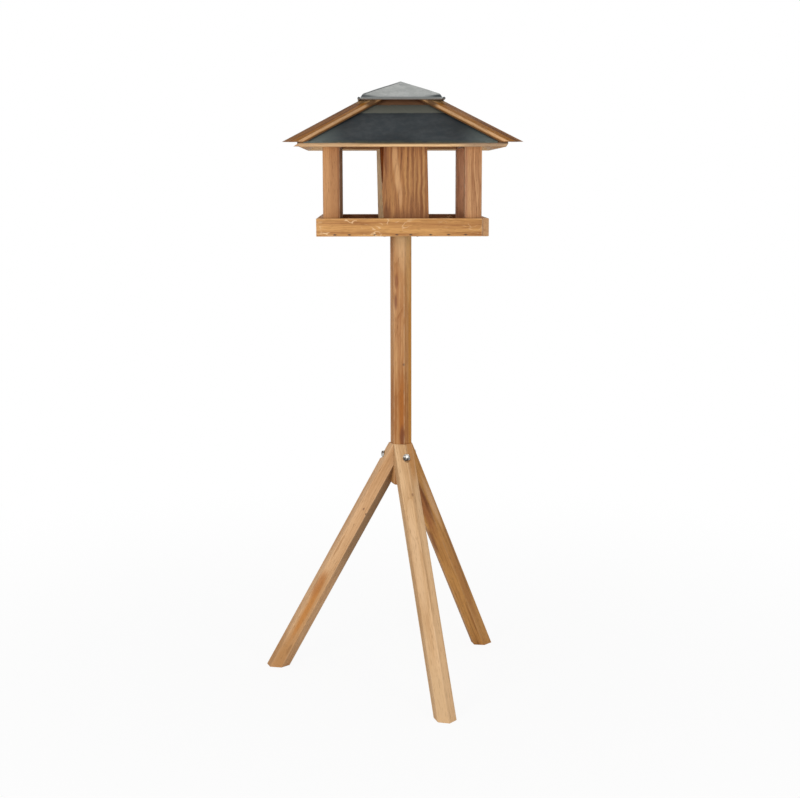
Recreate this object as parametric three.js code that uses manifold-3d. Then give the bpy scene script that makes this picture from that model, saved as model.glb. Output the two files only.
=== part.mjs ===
// A free-standing oak bird table on a six-sided mast with three splayed legs.
// Units are millimetres, +Z is up and the ground is z = 0.
// The finished part is moved so that its origin lies on the ground under the middle of its box.
import * as THREE from "three";
import { mergeVertices } from "three/addons/utils/BufferGeometryUtils.js";
import Module from "manifold-3d";

const wasm = await Module();
wasm.setup();

// Clearances and cutting tools.
const FIT_GAP = 0.25;
const CUT_OVERRUN = 20;
const ROUND_SIDES = 24;

// Six-sided stock of the mast and the legs.
const STOCK_ACROSS_FLATS = 42;
const STOCK_END_CHAMFER = 3;

// Tripod: where the legs stand, where their middle lines meet the mast's, and how they are turned.
const LEG_SPREAD = 297;
const LEG_MEET_HEIGHT = 545;
const LEG_BLUNTING = 7;
const LEG_TURN = THREE.MathUtils.degToRad(17);
const MAST_TAIL = 95;

// Leg bolts, which sit in a flat sunk into each leg's outer edge.
const BOLT_DROP = 28;
const BOLT_DIAMETER = 8;
const BOLT_HEAD_FLATS = 13;
const BOLT_HEAD_HEIGHT = 4.4;
const BOLT_DOME_HEIGHT = 1.4;
const BOLT_TIP_RADIUS = 9;
const WASHER_DIAMETER = 16;
const WASHER_THICKNESS = 1.6;
const SEAT_DEPTH = 5.2;
const SEAT_DIAMETER = 20;

// The four sides of the table, and the corner at the left end of each.
const SIDES = ["front", "right", "back", "left"];
const CORNER_NAMES = ["front_left", "front_right", "back_right", "back_left"];

// Tray: four rim boards round four floor boards.
const TRAY_WIDTH = 360;
const TRAY_BASE_HEIGHT = 1015;
const RIM_HEIGHT = 37.5;
const RIM_THICKNESS = 14;
const FLOOR_THICKNESS = 9;
const FLOOR_BOARD_COUNT = 4;
const FLOOR_BOARD_GAP = 1;
const EDGE_CHAMFER = 1;

// Steel plate between the mast and the floor, with its screws.
const PLATE_SIDE = 110;
const PLATE_THICKNESS = 4;
const PLATE_SCREW_INSET = 19;
const MAST_SCREW_DIAMETER = 8;
const MAST_SCREW_HEAD_DIAMETER = 15;
const MAST_SCREW_LENGTH = 80;
const FLOOR_SCREW_DIAMETER = 4;
const FLOOR_SCREW_HEAD_DIAMETER = 8;
const FLOOR_SCREW_HEAD_HEIGHT = 2.2;
const FLOOR_SCREW_COVER = 2;

// House: corner posts, a middle panel on each side and a ring of rails under the roof.
const POST_WIDTH = 35.5;
const PANEL_THICKNESS = 16;
const RAIL_THICKNESS = 18;
const RAIL_HEIGHT = 30;
const RAIL_ABOVE_RIM = 148;

// Each panel is a board with a slanting edge: its widths and how far its ends stand off centre.
const PANELS = {
  front: { headWidth: 98.5, footWidth: 94, headSet: 2, footSet: 9 },
  right: { headWidth: 97, footWidth: 95, headSet: -2, footSet: 3 },
  back: { headWidth: 98, footWidth: 94, headSet: 3.5, footSet: 1.5 },
  left: { headWidth: 96, footWidth: 97, headSet: 1.5, footSet: -2 },
};

// Roof: four boards mitred at the hips, four slates on them and four boards over the hips.
const ROOF_PITCH = THREE.MathUtils.degToRad(30);
const EAVE_ABOVE_RIM = 153.5;
const EAVE_OVERHANG = 50;
const ROOF_BOARD_THICKNESS = 9.2;
const SLATE_THICKNESS = 4.5;
const SLATE_LENGTH = 158;
const HIP_BOARD_WIDTH = 45;
const HIP_BOARD_THICKNESS = 10;
const HIP_BOARD_END_RISE = 2.5;
const HIP_BOARD_HEAD_CLEARANCE = 9;

// Cap: a folded sheet with a rolled bead along each side, nailed to a block in the roof's top.
const BLOCK_SIDE = 80;
const CAP_SIDE = 172;
const CAP_PITCH = THREE.MathUtils.degToRad(22.4);
const CAP_LIFT = 11.3;
const CAP_SHEET = 1.1;
const CAP_BEAD_DIAMETER = 6.2;
const CAP_BEAD_OUTSET = 4.5;
const CAP_BEAD_DROP = 2.7;
const CAP_NAIL_DIAMETER = 2.4;
const CAP_NAIL_HEAD_DIAMETER = 6;
const CAP_NAIL_HEAD_HEIGHT = 1.4;
const CAP_NAIL_LENGTH = 14;
const CAP_NAIL_INSET = 20;

// Sizes that follow from the ones above.
const hexRadius = (acrossFlats) => acrossFlats / 2 / Math.cos(Math.PI / 6);
const stockRadius = hexRadius(STOCK_ACROSS_FLATS);
const legTilt = Math.atan2(LEG_SPREAD, LEG_MEET_HEIGHT);
const legEdgeReach = stockRadius / Math.cos(legTilt);
const legRadiusAt = (height) => LEG_SPREAD - height * Math.tan(legTilt);
const featherHeight = (LEG_SPREAD + legEdgeReach - stockRadius) / Math.tan(legTilt);
const legHeadHeight = featherHeight - LEG_BLUNTING;
const boltHeight = LEG_MEET_HEIGHT - BOLT_DROP;
const boltSeatRadius = legRadiusAt(boltHeight) + legEdgeReach - SEAT_DEPTH;
const plateBase = TRAY_BASE_HEIGHT - FIT_GAP - PLATE_THICKNESS;
const mastTop = plateBase - FIT_GAP;
const mastBottom = LEG_MEET_HEIGHT - MAST_TAIL;
const trayHalf = TRAY_WIDTH / 2;
const wellHalf = trayHalf - RIM_THICKNESS;
const floorTop = TRAY_BASE_HEIGHT + FLOOR_THICKNESS;
const rimTop = TRAY_BASE_HEIGHT + RIM_HEIGHT;
const houseHalf = wellHalf - FIT_GAP;
const railBottom = rimTop + RAIL_ABOVE_RIM;
const eaveHalf = wellHalf + EAVE_OVERHANG;
const eaveHeight = rimTop + EAVE_ABOVE_RIM;
const roofRise = Math.tan(ROOF_PITCH);
const roofSurfaceAt = (half) => eaveHeight + (eaveHalf - half) * roofRise;
const blockHalf = BLOCK_SIDE / 2;
const roofTop = roofSurfaceAt(blockHalf);
const roofDrop = ROOF_BOARD_THICKNESS / Math.cos(ROOF_PITCH);
const hipPitch = Math.atan(roofRise / Math.SQRT2);
const capInsideApex = roofSurfaceAt(0) + CAP_LIFT;
const capRise = Math.tan(CAP_PITCH);
const capHalf = CAP_SIDE / 2;
const capBeadHalf = capHalf + CAP_BEAD_OUTSET;

// Materials, one for each kind of stock.
function material(name, color, roughness, metalness) {
  return new THREE.MeshStandardMaterial({ name, color, roughness, metalness });
}

const MAST_OAK = material("mast_oak", 0xbb8a5c, 0.62, 0);
const LEG_OAK = material("leg_oak", 0xd0a67c, 0.62, 0);
const TRAY_OAK = material("tray_oak", 0xc48f58, 0.62, 0);
const HOUSE_OAK = material("house_oak", 0xb98557, 0.62, 0);
const ROOF_OAK = material("roof_oak", 0xb07c4e, 0.64, 0);
const SLATE = material("slate", 0x41494f, 0.7, 0);
const CAP_METAL = material("cap_metal", 0xa5a8a5, 0.5, 0.85);
const FIXING_STEEL = material("fixing_steel", 0xc9ccd0, 0.3, 1);

// Turning three.js shapes into solids that can be cut and joined, and back.
function solidOf(geometry) {
  const bare = geometry.clone();
  bare.deleteAttribute("normal");
  bare.deleteAttribute("uv");
  const merged = mergeVertices(bare);
  const triVerts = new Uint32Array(merged.index.array);
  const vertProperties = new Float32Array(merged.attributes.position.array);
  return new wasm.Manifold(new wasm.Mesh({ numProp: 3, vertProperties, triVerts }));
}

function geometryOf(solid) {
  const mesh = solid.getMesh();
  const geometry = new THREE.BufferGeometry();
  geometry.setAttribute("position", new THREE.BufferAttribute(mesh.vertProperties, 3));
  geometry.setIndex(new THREE.BufferAttribute(mesh.triVerts, 1));
  const flat = geometry.toNonIndexed();
  flat.computeVertexNormals();
  return flat;
}

function cut(body, ...tools) {
  return tools.reduce((left, tool) => left.subtract(tool), body);
}

// A straight prism: an outline in X and Y, standing on height `from` and reaching height `to`.
function prism(points, from, to) {
  const shape = new THREE.Shape(points.map(([x, y]) => new THREE.Vector2(x, y)));
  const geometry = new THREE.ExtrudeGeometry(shape, { depth: to - from, bevelEnabled: false });
  return geometry.translate(0, 0, from);
}

// The same outline lying on its side: X stays, the outline's second number is height, and it runs along Y.
function uprightPrism(points, from, to) {
  return prism(points, -to, -from).rotateX(Math.PI / 2);
}

function box(x, y, z) {
  const geometry = new THREE.BoxGeometry(x[1] - x[0], y[1] - y[0], z[1] - z[0]);
  return geometry.translate((x[0] + x[1]) / 2, (y[0] + y[1]) / 2, (z[0] + z[1]) / 2);
}

// A rectangle with its four corners taken off, from low to high along both of its axes.
function chamferedOutline(a, b, chamfer) {
  return [
    [a[0] + chamfer, b[0]], [a[1] - chamfer, b[0]],
    [a[1], b[0] + chamfer], [a[1], b[1] - chamfer],
    [a[1] - chamfer, b[1]], [a[0] + chamfer, b[1]],
    [a[0], b[1] - chamfer], [a[0], b[0] + chamfer],
  ];
}

// A regular hexagon with one corner towards -Y.
function hexOutline(radius) {
  return [0, 1, 2, 3, 4, 5].map((corner) => {
    const angle = (corner * Math.PI) / 3 - Math.PI / 2;
    return [radius * Math.cos(angle), radius * Math.sin(angle)];
  });
}

// A turned piece about Z from [radius, height] pairs.
function turned(profile) {
  return new THREE.LatheGeometry(profile.map(([r, h]) => new THREE.Vector2(r, h)), ROUND_SIDES)
    .rotateX(Math.PI / 2);
}

// A round bar along Z.
function bar(diameter, from, to) {
  return turned([[0, from], [diameter / 2, from], [diameter / 2, to], [0, to]]);
}

// Lays a piece that was made along Z so that it points to -Y at a given height.
function pointOutwards(geometry, height) {
  return geometry.rotateX(Math.PI / 2).translate(0, 0, height);
}

const part = new THREE.Group();

function addPiece(parent, name, geometry, stock) {
  const mesh = new THREE.Mesh(geometry, stock);
  mesh.name = name;
  parent.add(mesh);
  return mesh;
}

// Stand: the mast.
const boltBore = BOLT_DIAMETER + FIT_GAP * 2;
const mastScrewBore = MAST_SCREW_DIAMETER + FIT_GAP * 2;
const mastScrewTip = TRAY_BASE_HEIGHT - FIT_GAP - MAST_SCREW_LENGTH;
const LEG_NAMES = ["front", "left", "back"];
const legAngle = (index) => LEG_TURN - (index * Math.PI * 2) / LEG_NAMES.length;

function chamferedStock(length) {
  const outline = hexOutline(stockRadius).map(([x, y]) => new THREE.Vector2(x, y));
  const settings = {
    depth: length - STOCK_END_CHAMFER * 2,
    bevelThickness: STOCK_END_CHAMFER,
    bevelSize: STOCK_END_CHAMFER,
    bevelOffset: -STOCK_END_CHAMFER,
    bevelSegments: 1,
  };
  return new THREE.ExtrudeGeometry(new THREE.Shape(outline), settings).translate(0, 0, STOCK_END_CHAMFER);
}

function mastGeometry() {
  const stock = solidOf(chamferedStock(mastTop - mastBottom).translate(0, 0, mastBottom));
  const bores = LEG_NAMES.map((_, index) => {
    const bore = bar(boltBore, BOLT_TIP_RADIUS - FIT_GAP, stockRadius + CUT_OVERRUN);
    return solidOf(pointOutwards(bore, boltHeight).rotateZ(legAngle(index) - LEG_TURN));
  });
  const topBore = solidOf(bar(mastScrewBore, mastScrewTip - FIT_GAP, mastTop + CUT_OVERRUN));
  return geometryOf(cut(stock, ...bores, topBore));
}

// Stand: a leg leaning towards -Y, notched over an edge of the mast and cut level at its foot.
function legGeometry() {
  const length = (LEG_MEET_HEIGHT + CUT_OVERRUN) / Math.cos(legTilt) + stockRadius;
  const stock = prism(hexOutline(stockRadius), -stockRadius, length)
    .rotateX(-legTilt)
    .translate(0, -LEG_SPREAD, 0);
  const reach = LEG_SPREAD + legEdgeReach + CUT_OVERRUN;
  const side = reach * Math.sin(Math.PI / 3);
  const near = -reach * Math.cos(Math.PI / 3);
  const sector = prism([[0, 0], [-side, near], [-side, -reach], [side, -reach], [side, near]], 0, legHeadHeight);
  const notch = prism(hexOutline(stockRadius + FIT_GAP), 0, legHeadHeight + CUT_OVERRUN);
  const bore = pointOutwards(bar(boltBore, 0, boltSeatRadius + CUT_OVERRUN), boltHeight);
  const seat = pointOutwards(bar(SEAT_DIAMETER, boltSeatRadius, boltSeatRadius + SEAT_DIAMETER), boltHeight);
  const blank = solidOf(stock).intersect(solidOf(sector));
  return geometryOf(cut(blank, solidOf(notch), solidOf(bore), solidOf(seat)));
}

function washerGeometry() {
  const inner = boltBore / 2;
  const outer = WASHER_DIAMETER / 2;
  const from = boltSeatRadius + FIT_GAP;
  const to = from + WASHER_THICKNESS;
  return pointOutwards(turned([[inner, from], [outer, from], [outer, to], [inner, to], [inner, from]]), boltHeight);
}

function boltGeometry() {
  const headBase = boltSeatRadius + WASHER_THICKNESS + FIT_GAP * 2;
  const headTop = headBase + BOLT_HEAD_HEIGHT;
  const head = prism(hexOutline(hexRadius(BOLT_HEAD_FLATS)), headBase, headTop);
  const shank = bar(BOLT_DIAMETER, BOLT_TIP_RADIUS, headTop);
  const domeRadius = BOLT_HEAD_FLATS / 2;
  const domeShoulder = domeRadius * Math.SQRT1_2;
  const domeFlank = headTop + BOLT_DOME_HEIGHT * Math.SQRT1_2;
  const dome = turned([
    [0, headBase + BOLT_HEAD_HEIGHT / 2], [domeRadius - FIT_GAP, headBase + BOLT_HEAD_HEIGHT / 2],
    [domeRadius - FIT_GAP, headTop], [domeShoulder, domeFlank], [0, headTop + BOLT_DOME_HEIGHT],
  ]);
  const joined = solidOf(head).add(solidOf(shank)).add(solidOf(dome));
  return pointOutwards(geometryOf(joined), boltHeight);
}

function addStand() {
  const stand = new THREE.Group();
  part.add(stand);
  const mastTurn = new THREE.Group();
  mastTurn.rotation.z = LEG_TURN;
  stand.add(mastTurn);
  addPiece(mastTurn, "mast", mastGeometry(), MAST_OAK);
  const leg = legGeometry();
  const washer = washerGeometry();
  const bolt = boltGeometry();
  LEG_NAMES.forEach((name, index) => {
    const turn = new THREE.Group();
    turn.rotation.z = legAngle(index);
    stand.add(turn);
    addPiece(turn, `leg_${name}`, leg, LEG_OAK);
    addPiece(turn, `leg_washer_${name}`, washer, FIXING_STEEL);
    addPiece(turn, `leg_bolt_${name}`, bolt, FIXING_STEEL);
  });
}

// Mast head: the plate, its screw into the mast and four screws up into the floor.
const CORNERS = [[-1, -1], [1, -1], [1, 1], [-1, 1]];
const screwPlace = PLATE_SIDE / 2 - PLATE_SCREW_INSET;
const plateTop = plateBase + PLATE_THICKNESS;
const floorScrewTip = floorTop - FLOOR_SCREW_COVER;
const floorScrewBore = FLOOR_SCREW_DIAMETER + FIT_GAP * 2;

function plateGeometry() {
  const half = PLATE_SIDE / 2;
  const blank = solidOf(box([-half, half], [-half, half], [plateBase, plateTop]));
  const sink = turned([
    [0, plateBase - CUT_OVERRUN], [mastScrewBore / 2, plateBase - CUT_OVERRUN],
    [mastScrewBore / 2, plateBase], [MAST_SCREW_HEAD_DIAMETER / 2 + FIT_GAP, plateTop],
    [MAST_SCREW_HEAD_DIAMETER / 2 + FIT_GAP, plateTop + CUT_OVERRUN], [0, plateTop + CUT_OVERRUN],
  ]);
  const holes = CORNERS.map(([x, y]) => {
    const hole = bar(floorScrewBore, plateBase - CUT_OVERRUN, plateTop + CUT_OVERRUN);
    return solidOf(hole.translate(x * screwPlace, y * screwPlace, 0));
  });
  return geometryOf(cut(blank, solidOf(sink), ...holes));
}

function mastScrewGeometry() {
  return turned([
    [0, mastScrewTip], [MAST_SCREW_DIAMETER / 2, mastScrewTip + MAST_SCREW_DIAMETER],
    [MAST_SCREW_DIAMETER / 2, plateBase], [MAST_SCREW_HEAD_DIAMETER / 2, plateTop], [0, plateTop],
  ]);
}

function floorScrewGeometry() {
  const headTop = plateBase - FIT_GAP;
  const headBase = headTop - FLOOR_SCREW_HEAD_HEIGHT;
  return turned([
    [0, headBase], [FLOOR_SCREW_HEAD_DIAMETER / 2, headBase + FLOOR_SCREW_HEAD_HEIGHT / 2],
    [FLOOR_SCREW_HEAD_DIAMETER / 2, headTop], [FLOOR_SCREW_DIAMETER / 2, headTop],
    [FLOOR_SCREW_DIAMETER / 2, floorScrewTip - FLOOR_SCREW_DIAMETER / 2], [0, floorScrewTip],
  ]);
}

function addMastHead() {
  const head = new THREE.Group();
  part.add(head);
  addPiece(head, "mast_plate", plateGeometry(), FIXING_STEEL);
  addPiece(head, "mast_screw", mastScrewGeometry(), FIXING_STEEL);
  CORNERS.forEach(([x, y], index) => {
    const screw = addPiece(head, `floor_screw_${index + 1}`, floorScrewGeometry(), FIXING_STEEL);
    screw.position.set(x * screwPlace, y * screwPlace, 0);
  });
}

// Tray floor: boards that run from front to back inside the rims.
function floorBoardGeometry(index) {
  const pitch = (wellHalf * 2) / FLOOR_BOARD_COUNT;
  const low = index === 0 ? -wellHalf + FIT_GAP : -wellHalf + index * pitch + FLOOR_BOARD_GAP / 2;
  const last = index === FLOOR_BOARD_COUNT - 1;
  const high = last ? wellHalf - FIT_GAP : -wellHalf + (index + 1) * pitch - FLOOR_BOARD_GAP / 2;
  const board = box([low, high], [-houseHalf, houseHalf], [TRAY_BASE_HEIGHT, floorTop]);
  const bores = CORNERS.map(([x, y]) => {
    const bore = bar(floorScrewBore, TRAY_BASE_HEIGHT - CUT_OVERRUN, floorScrewTip + FIT_GAP);
    return solidOf(bore.translate(x * screwPlace, y * screwPlace, 0));
  });
  return geometryOf(cut(solidOf(board), ...bores));
}

// One rim board: it covers the end of the board on its left and butts against the one on its right.
function rimGeometry() {
  const profile = chamferedOutline([-trayHalf, -wellHalf], [TRAY_BASE_HEIGHT, rimTop], EDGE_CHAMFER);
  return uprightPrism(profile, -wellHalf + FIT_GAP, trayHalf).rotateZ(Math.PI / 2);
}

// The space under the roof boards: a pyramid that ends a small gap below them.
function underRoof() {
  const base = TRAY_BASE_HEIGHT;
  const apex = roofSurfaceAt(0) - roofDrop - FIT_GAP;
  const half = (apex - base) / roofRise;
  const pyramid = new THREE.ConeGeometry(half * Math.SQRT2, apex - base, CORNERS.length);
  return solidOf(pyramid.rotateX(Math.PI / 2).rotateZ(Math.PI / 4).translate(0, 0, (apex + base) / 2));
}

const postFoot = floorTop + FIT_GAP;
const houseTop = roofSurfaceAt(0);

function postGeometry() {
  const across = [-houseHalf, -houseHalf + POST_WIDTH];
  const blank = prism(chamferedOutline(across, across, EDGE_CHAMFER), postFoot, houseTop);
  return geometryOf(solidOf(blank).intersect(underRoof()));
}

function panelGeometry({ headWidth, footWidth, headSet, footSet }) {
  const head = railBottom;
  const slant = (low, high, height) => low + ((high - low) * (height - postFoot)) / (head - postFoot);
  const leftEdge = (height) => slant(footSet - footWidth / 2, headSet - headWidth / 2, height);
  const rightEdge = (height) => slant(footSet + footWidth / 2, headSet + headWidth / 2, height);
  const outline = [
    [leftEdge(postFoot), postFoot], [rightEdge(postFoot), postFoot],
    [rightEdge(houseTop), houseTop], [leftEdge(houseTop), houseTop],
  ];
  const blank = uprightPrism(outline, -houseHalf, -houseHalf + PANEL_THICKNESS);
  return geometryOf(solidOf(blank).intersect(underRoof()));
}

function railGeometry() {
  const reach = houseHalf - POST_WIDTH - FIT_GAP;
  const outer = -houseHalf + PANEL_THICKNESS + FIT_GAP;
  const blank = box([-reach, reach], [outer, outer + RAIL_THICKNESS], [railBottom, railBottom + RAIL_HEIGHT]);
  return geometryOf(solidOf(blank).intersect(underRoof()));
}

// Roof: a board on the front slope, cut square at the eave, level at the top and mitred at both hips.
function roofBoardGeometry() {
  const lipIn = ROOF_BOARD_THICKNESS * Math.sin(ROOF_PITCH);
  const lipDown = ROOF_BOARD_THICKNESS * Math.cos(ROOF_PITCH);
  const innerTop = blockHalf - roofDrop / roofRise;
  const slope = [
    [-eaveHalf + lipIn, eaveHeight - lipDown], [-innerTop, roofTop],
    [-blockHalf, roofTop], [-eaveHalf, eaveHeight],
  ];
  const board = uprightPrism(slope, -eaveHalf, eaveHalf).rotateZ(Math.PI / 2);
  const reach = eaveHalf + CUT_OVERRUN;
  const mitre = prism([[0, -FIT_GAP], [-reach, -reach - FIT_GAP], [reach, -reach - FIT_GAP]], 0, houseTop);
  return geometryOf(solidOf(board).intersect(solidOf(mitre)));
}

// The slate's sides run along the hips at the distance where the hip boards come down onto them.
const faceTilt = Math.acos(Math.cos(ROOF_PITCH) / Math.cos(hipPitch));
const slateRise = SLATE_THICKNESS + FIT_GAP;
const slateFromHip = (slateRise * Math.cos(faceTilt)) / Math.sin(faceTilt);

function slateGeometry() {
  const hipAngle = Math.atan(1 / Math.cos(ROOF_PITCH));
  const margin = slateFromHip / Math.sin(hipAngle);
  const footHalf = eaveHalf - margin;
  const headHalf = footHalf - SLATE_LENGTH * Math.cos(ROOF_PITCH);
  const outline = [[-footHalf, 0], [footHalf, 0], [headHalf, SLATE_LENGTH], [-headHalf, SLATE_LENGTH]];
  return prism(outline, FIT_GAP, slateRise).rotateX(ROOF_PITCH).translate(0, -eaveHalf, eaveHeight);
}

// A hip board over the front left corner: square to the hip, cut level above the eave and upright at the head.
function hipBoardGeometry() {
  const half = HIP_BOARD_WIDTH / 2;
  const reach = eaveHalf * Math.SQRT2;
  const length = reach / Math.cos(hipPitch);
  const topside = FIT_GAP + HIP_BOARD_THICKNESS;
  const overhang = topside / Math.tan(hipPitch) + CUT_OVERRUN;
  const blank = box([-half, half], [-overhang, length], [FIT_GAP, topside])
    .rotateX(hipPitch)
    .translate(0, -reach, eaveHeight);
  const keepFrom = -reach - overhang - CUT_OVERRUN;
  const keepTo = -blockHalf * Math.SQRT2 - HIP_BOARD_HEAD_CLEARANCE;
  const keepBase = eaveHeight + HIP_BOARD_END_RISE;
  const keep = box([-HIP_BOARD_WIDTH, HIP_BOARD_WIDTH], [keepFrom, keepTo], [keepBase, houseTop]);
  return geometryOf(solidOf(blank).intersect(solidOf(keep)));
}

function addTableAndHouse() {
  const tray = new THREE.Group();
  part.add(tray);
  for (let index = 0; index < FLOOR_BOARD_COUNT; index += 1) {
    addPiece(tray, `floor_board_${index + 1}`, floorBoardGeometry(index), TRAY_OAK);
  }
  const rim = rimGeometry();
  const post = postGeometry();
  const rail = railGeometry();
  const roofBoard = roofBoardGeometry();
  const slate = slateGeometry();
  const hipBoard = hipBoardGeometry();
  SIDES.forEach((side, index) => {
    const turn = new THREE.Group();
    turn.rotation.z = (index * Math.PI) / 2;
    part.add(turn);
    addPiece(turn, `tray_rim_${side}`, rim, TRAY_OAK);
    addPiece(turn, `corner_post_${CORNER_NAMES[index]}`, post, HOUSE_OAK);
    addPiece(turn, `house_panel_${side}`, panelGeometry(PANELS[side]), HOUSE_OAK);
    addPiece(turn, `top_rail_${side}`, rail, HOUSE_OAK);
    addPiece(turn, `roof_board_${side}`, roofBoard, ROOF_OAK);
    addPiece(turn, `slate_${side}`, slate, SLATE);
    addPiece(turn, `hip_board_${CORNER_NAMES[index]}`, hipBoard, ROOF_OAK).rotation.z = -Math.PI / 4;
  });
}

// Cap: pyramids that share the cap's pitch, one for the sheet's outside and one for its inside.
function capPyramid(apex, base) {
  const half = (apex - base) / capRise;
  const pyramid = new THREE.ConeGeometry(half * Math.SQRT2, apex - base, CORNERS.length);
  return solidOf(pyramid.rotateX(Math.PI / 2).rotateZ(Math.PI / 4).translate(0, 0, (apex + base) / 2));
}

const capDrop = CAP_SHEET / Math.cos(CAP_PITCH);
const capApex = capInsideApex + capDrop;
const beadHeight = capApex - capBeadHalf * capRise - CAP_BEAD_DROP;
const nailBore = CAP_NAIL_DIAMETER + FIT_GAP * 2;

// A cap nail stands square to the front slope of the cap.
function placeNail(geometry) {
  return geometry.rotateX(CAP_PITCH).translate(0, -CAP_NAIL_INSET, capApex - CAP_NAIL_INSET * capRise);
}

function capGeometry() {
  const skirt = beadHeight - CUT_OVERRUN;
  const shell = capPyramid(capApex, skirt).subtract(capPyramid(capInsideApex, skirt - CUT_OVERRUN));
  const wide = [-capBeadHalf, capBeadHalf];
  const narrow = [-capHalf, capHalf];
  const height = [beadHeight, capApex + CUT_OVERRUN];
  const keep = solidOf(box(wide, narrow, height)).add(solidOf(box(narrow, wide, height)));
  let cap = shell.intersect(keep);
  SIDES.forEach((_, index) => {
    const bead = bar(CAP_BEAD_DIAMETER, -capHalf, capHalf)
      .rotateY(Math.PI / 2)
      .translate(0, -capBeadHalf, beadHeight)
      .rotateZ((index * Math.PI) / 2);
    const hole = placeNail(bar(nailBore, -CUT_OVERRUN, CUT_OVERRUN)).rotateZ((index * Math.PI) / 2);
    cap = cap.add(solidOf(bead)).subtract(solidOf(hole));
  });
  return geometryOf(cap);
}

function capBlockGeometry() {
  const column = box([-blockHalf, blockHalf], [-blockHalf, blockHalf], [roofTop + FIT_GAP, capApex]);
  const block = solidOf(column).intersect(capPyramid(capInsideApex - FIT_GAP, roofTop - CUT_OVERRUN));
  const bores = SIDES.map((_, index) => {
    const bore = placeNail(bar(nailBore, -CAP_NAIL_LENGTH - FIT_GAP, CUT_OVERRUN));
    return solidOf(bore.rotateZ((index * Math.PI) / 2));
  });
  return geometryOf(cut(block, ...bores));
}

function capNailGeometry() {
  const headRadius = CAP_NAIL_HEAD_DIAMETER / 2;
  const shank = CAP_NAIL_DIAMETER / 2;
  return placeNail(turned([
    [0, -CAP_NAIL_LENGTH], [shank, -CAP_NAIL_LENGTH + CAP_NAIL_DIAMETER], [shank, FIT_GAP],
    [headRadius, FIT_GAP], [headRadius * Math.SQRT1_2, CAP_NAIL_HEAD_HEIGHT * Math.SQRT1_2],
    [0, CAP_NAIL_HEAD_HEIGHT],
  ]));
}

function addCap() {
  const cap = new THREE.Group();
  part.add(cap);
  addPiece(cap, "cap_block", capBlockGeometry(), ROOF_OAK);
  addPiece(cap, "cap_sheet", capGeometry(), CAP_METAL);
  const nail = capNailGeometry();
  SIDES.forEach((side, index) => {
    addPiece(cap, `cap_nail_${side}`, nail, FIXING_STEEL).rotation.z = (index * Math.PI) / 2;
  });
}

addStand();
addMastHead();
addTableAndHouse();
addCap();

// Origin on the ground, under the middle of the part's box.
const bounds = new THREE.Box3().setFromObject(part, true);
const middle = bounds.getCenter(new THREE.Vector3());
part.position.set(-middle.x, -middle.y, -bounds.min.z);

const group = new THREE.Group();
group.add(part);

export default group;
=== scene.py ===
# %% [markdown]
# # A roofed bird table in oak, slate and folded metal
# This lesson dresses the measured frame of a bird table for a picture. The frame gives every piece its
# place and size in metres: +Z is up, -Y is the front, and the ground is z = 0. We keep that frame and
# build each visible piece over it with softened edges, real folds and finishes made of nodes.

# %% Load the frame
import math

import bmesh
import bpy
from mathutils import Matrix, Vector, noise


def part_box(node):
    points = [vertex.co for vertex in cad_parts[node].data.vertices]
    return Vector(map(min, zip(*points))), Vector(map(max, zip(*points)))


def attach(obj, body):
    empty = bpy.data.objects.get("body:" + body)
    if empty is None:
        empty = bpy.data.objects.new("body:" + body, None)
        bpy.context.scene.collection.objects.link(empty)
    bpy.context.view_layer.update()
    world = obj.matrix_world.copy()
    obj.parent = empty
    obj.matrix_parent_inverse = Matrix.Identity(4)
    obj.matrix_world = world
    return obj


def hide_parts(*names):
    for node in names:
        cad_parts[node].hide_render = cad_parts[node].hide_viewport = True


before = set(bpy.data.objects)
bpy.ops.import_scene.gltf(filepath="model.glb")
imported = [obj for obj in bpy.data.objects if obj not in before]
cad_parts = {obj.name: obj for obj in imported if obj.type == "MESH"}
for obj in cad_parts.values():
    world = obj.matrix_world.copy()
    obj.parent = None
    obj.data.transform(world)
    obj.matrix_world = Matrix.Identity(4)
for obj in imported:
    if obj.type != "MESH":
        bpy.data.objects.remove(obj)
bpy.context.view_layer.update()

# %% [markdown]
# ## Where things are
# The house stands square on the mast, so the block under the cap gives the upright middle line of the
# whole table. The four sides look alike, turned by a quarter each. A side has its own directions: `along`
# runs from left to right as you face it, and `out` points towards you. One helper turns a place on a side
# into a place in the frame, so nothing has to be worked out four times.

# %% The middle line and the four sides
low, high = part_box("cap_block")
MIDDLE = Vector(((low.x + high.x) / 2, (low.y + high.y) / 2, 0))
UP = Vector((0, 0, 1))
SIDES = {
    "front": (Vector((1, 0, 0)), Vector((0, -1, 0))),
    "right": (Vector((0, 1, 0)), Vector((1, 0, 0))),
    "back": (Vector((-1, 0, 0)), Vector((0, 1, 0))),
    "left": (Vector((0, -1, 0)), Vector((-1, 0, 0))),
}
CORNERS = {
    "front_left": Vector((-1, -1, 0)).normalized(),
    "front_right": Vector((1, -1, 0)).normalized(),
    "back_right": Vector((1, 1, 0)).normalized(),
    "back_left": Vector((-1, 1, 0)).normalized(),
}


def on_side(side, u, reach, height):
    """A place in the frame: u along the side, reach outwards from the middle line, and a height."""
    along, out = SIDES[side]
    return MIDDLE + along * u + out * reach + UP * height


def middle_of(node):
    lowest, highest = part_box(node)
    return (lowest + highest) / 2


def size_of(node):
    lowest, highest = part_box(node)
    return highest - lowest


print("middle line at", [round(v * 1000, 1) for v in MIDDLE], "mm")

# %% [markdown]
# ## The camera
# The picture was taken from a little left of the middle, from about the height of the tray, with the
# camera tipped down. These numbers come from fitting known edges of the table to where they fall in the
# picture. We build the camera's three directions by hand, because that keeps the tiny roll exact.

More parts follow.
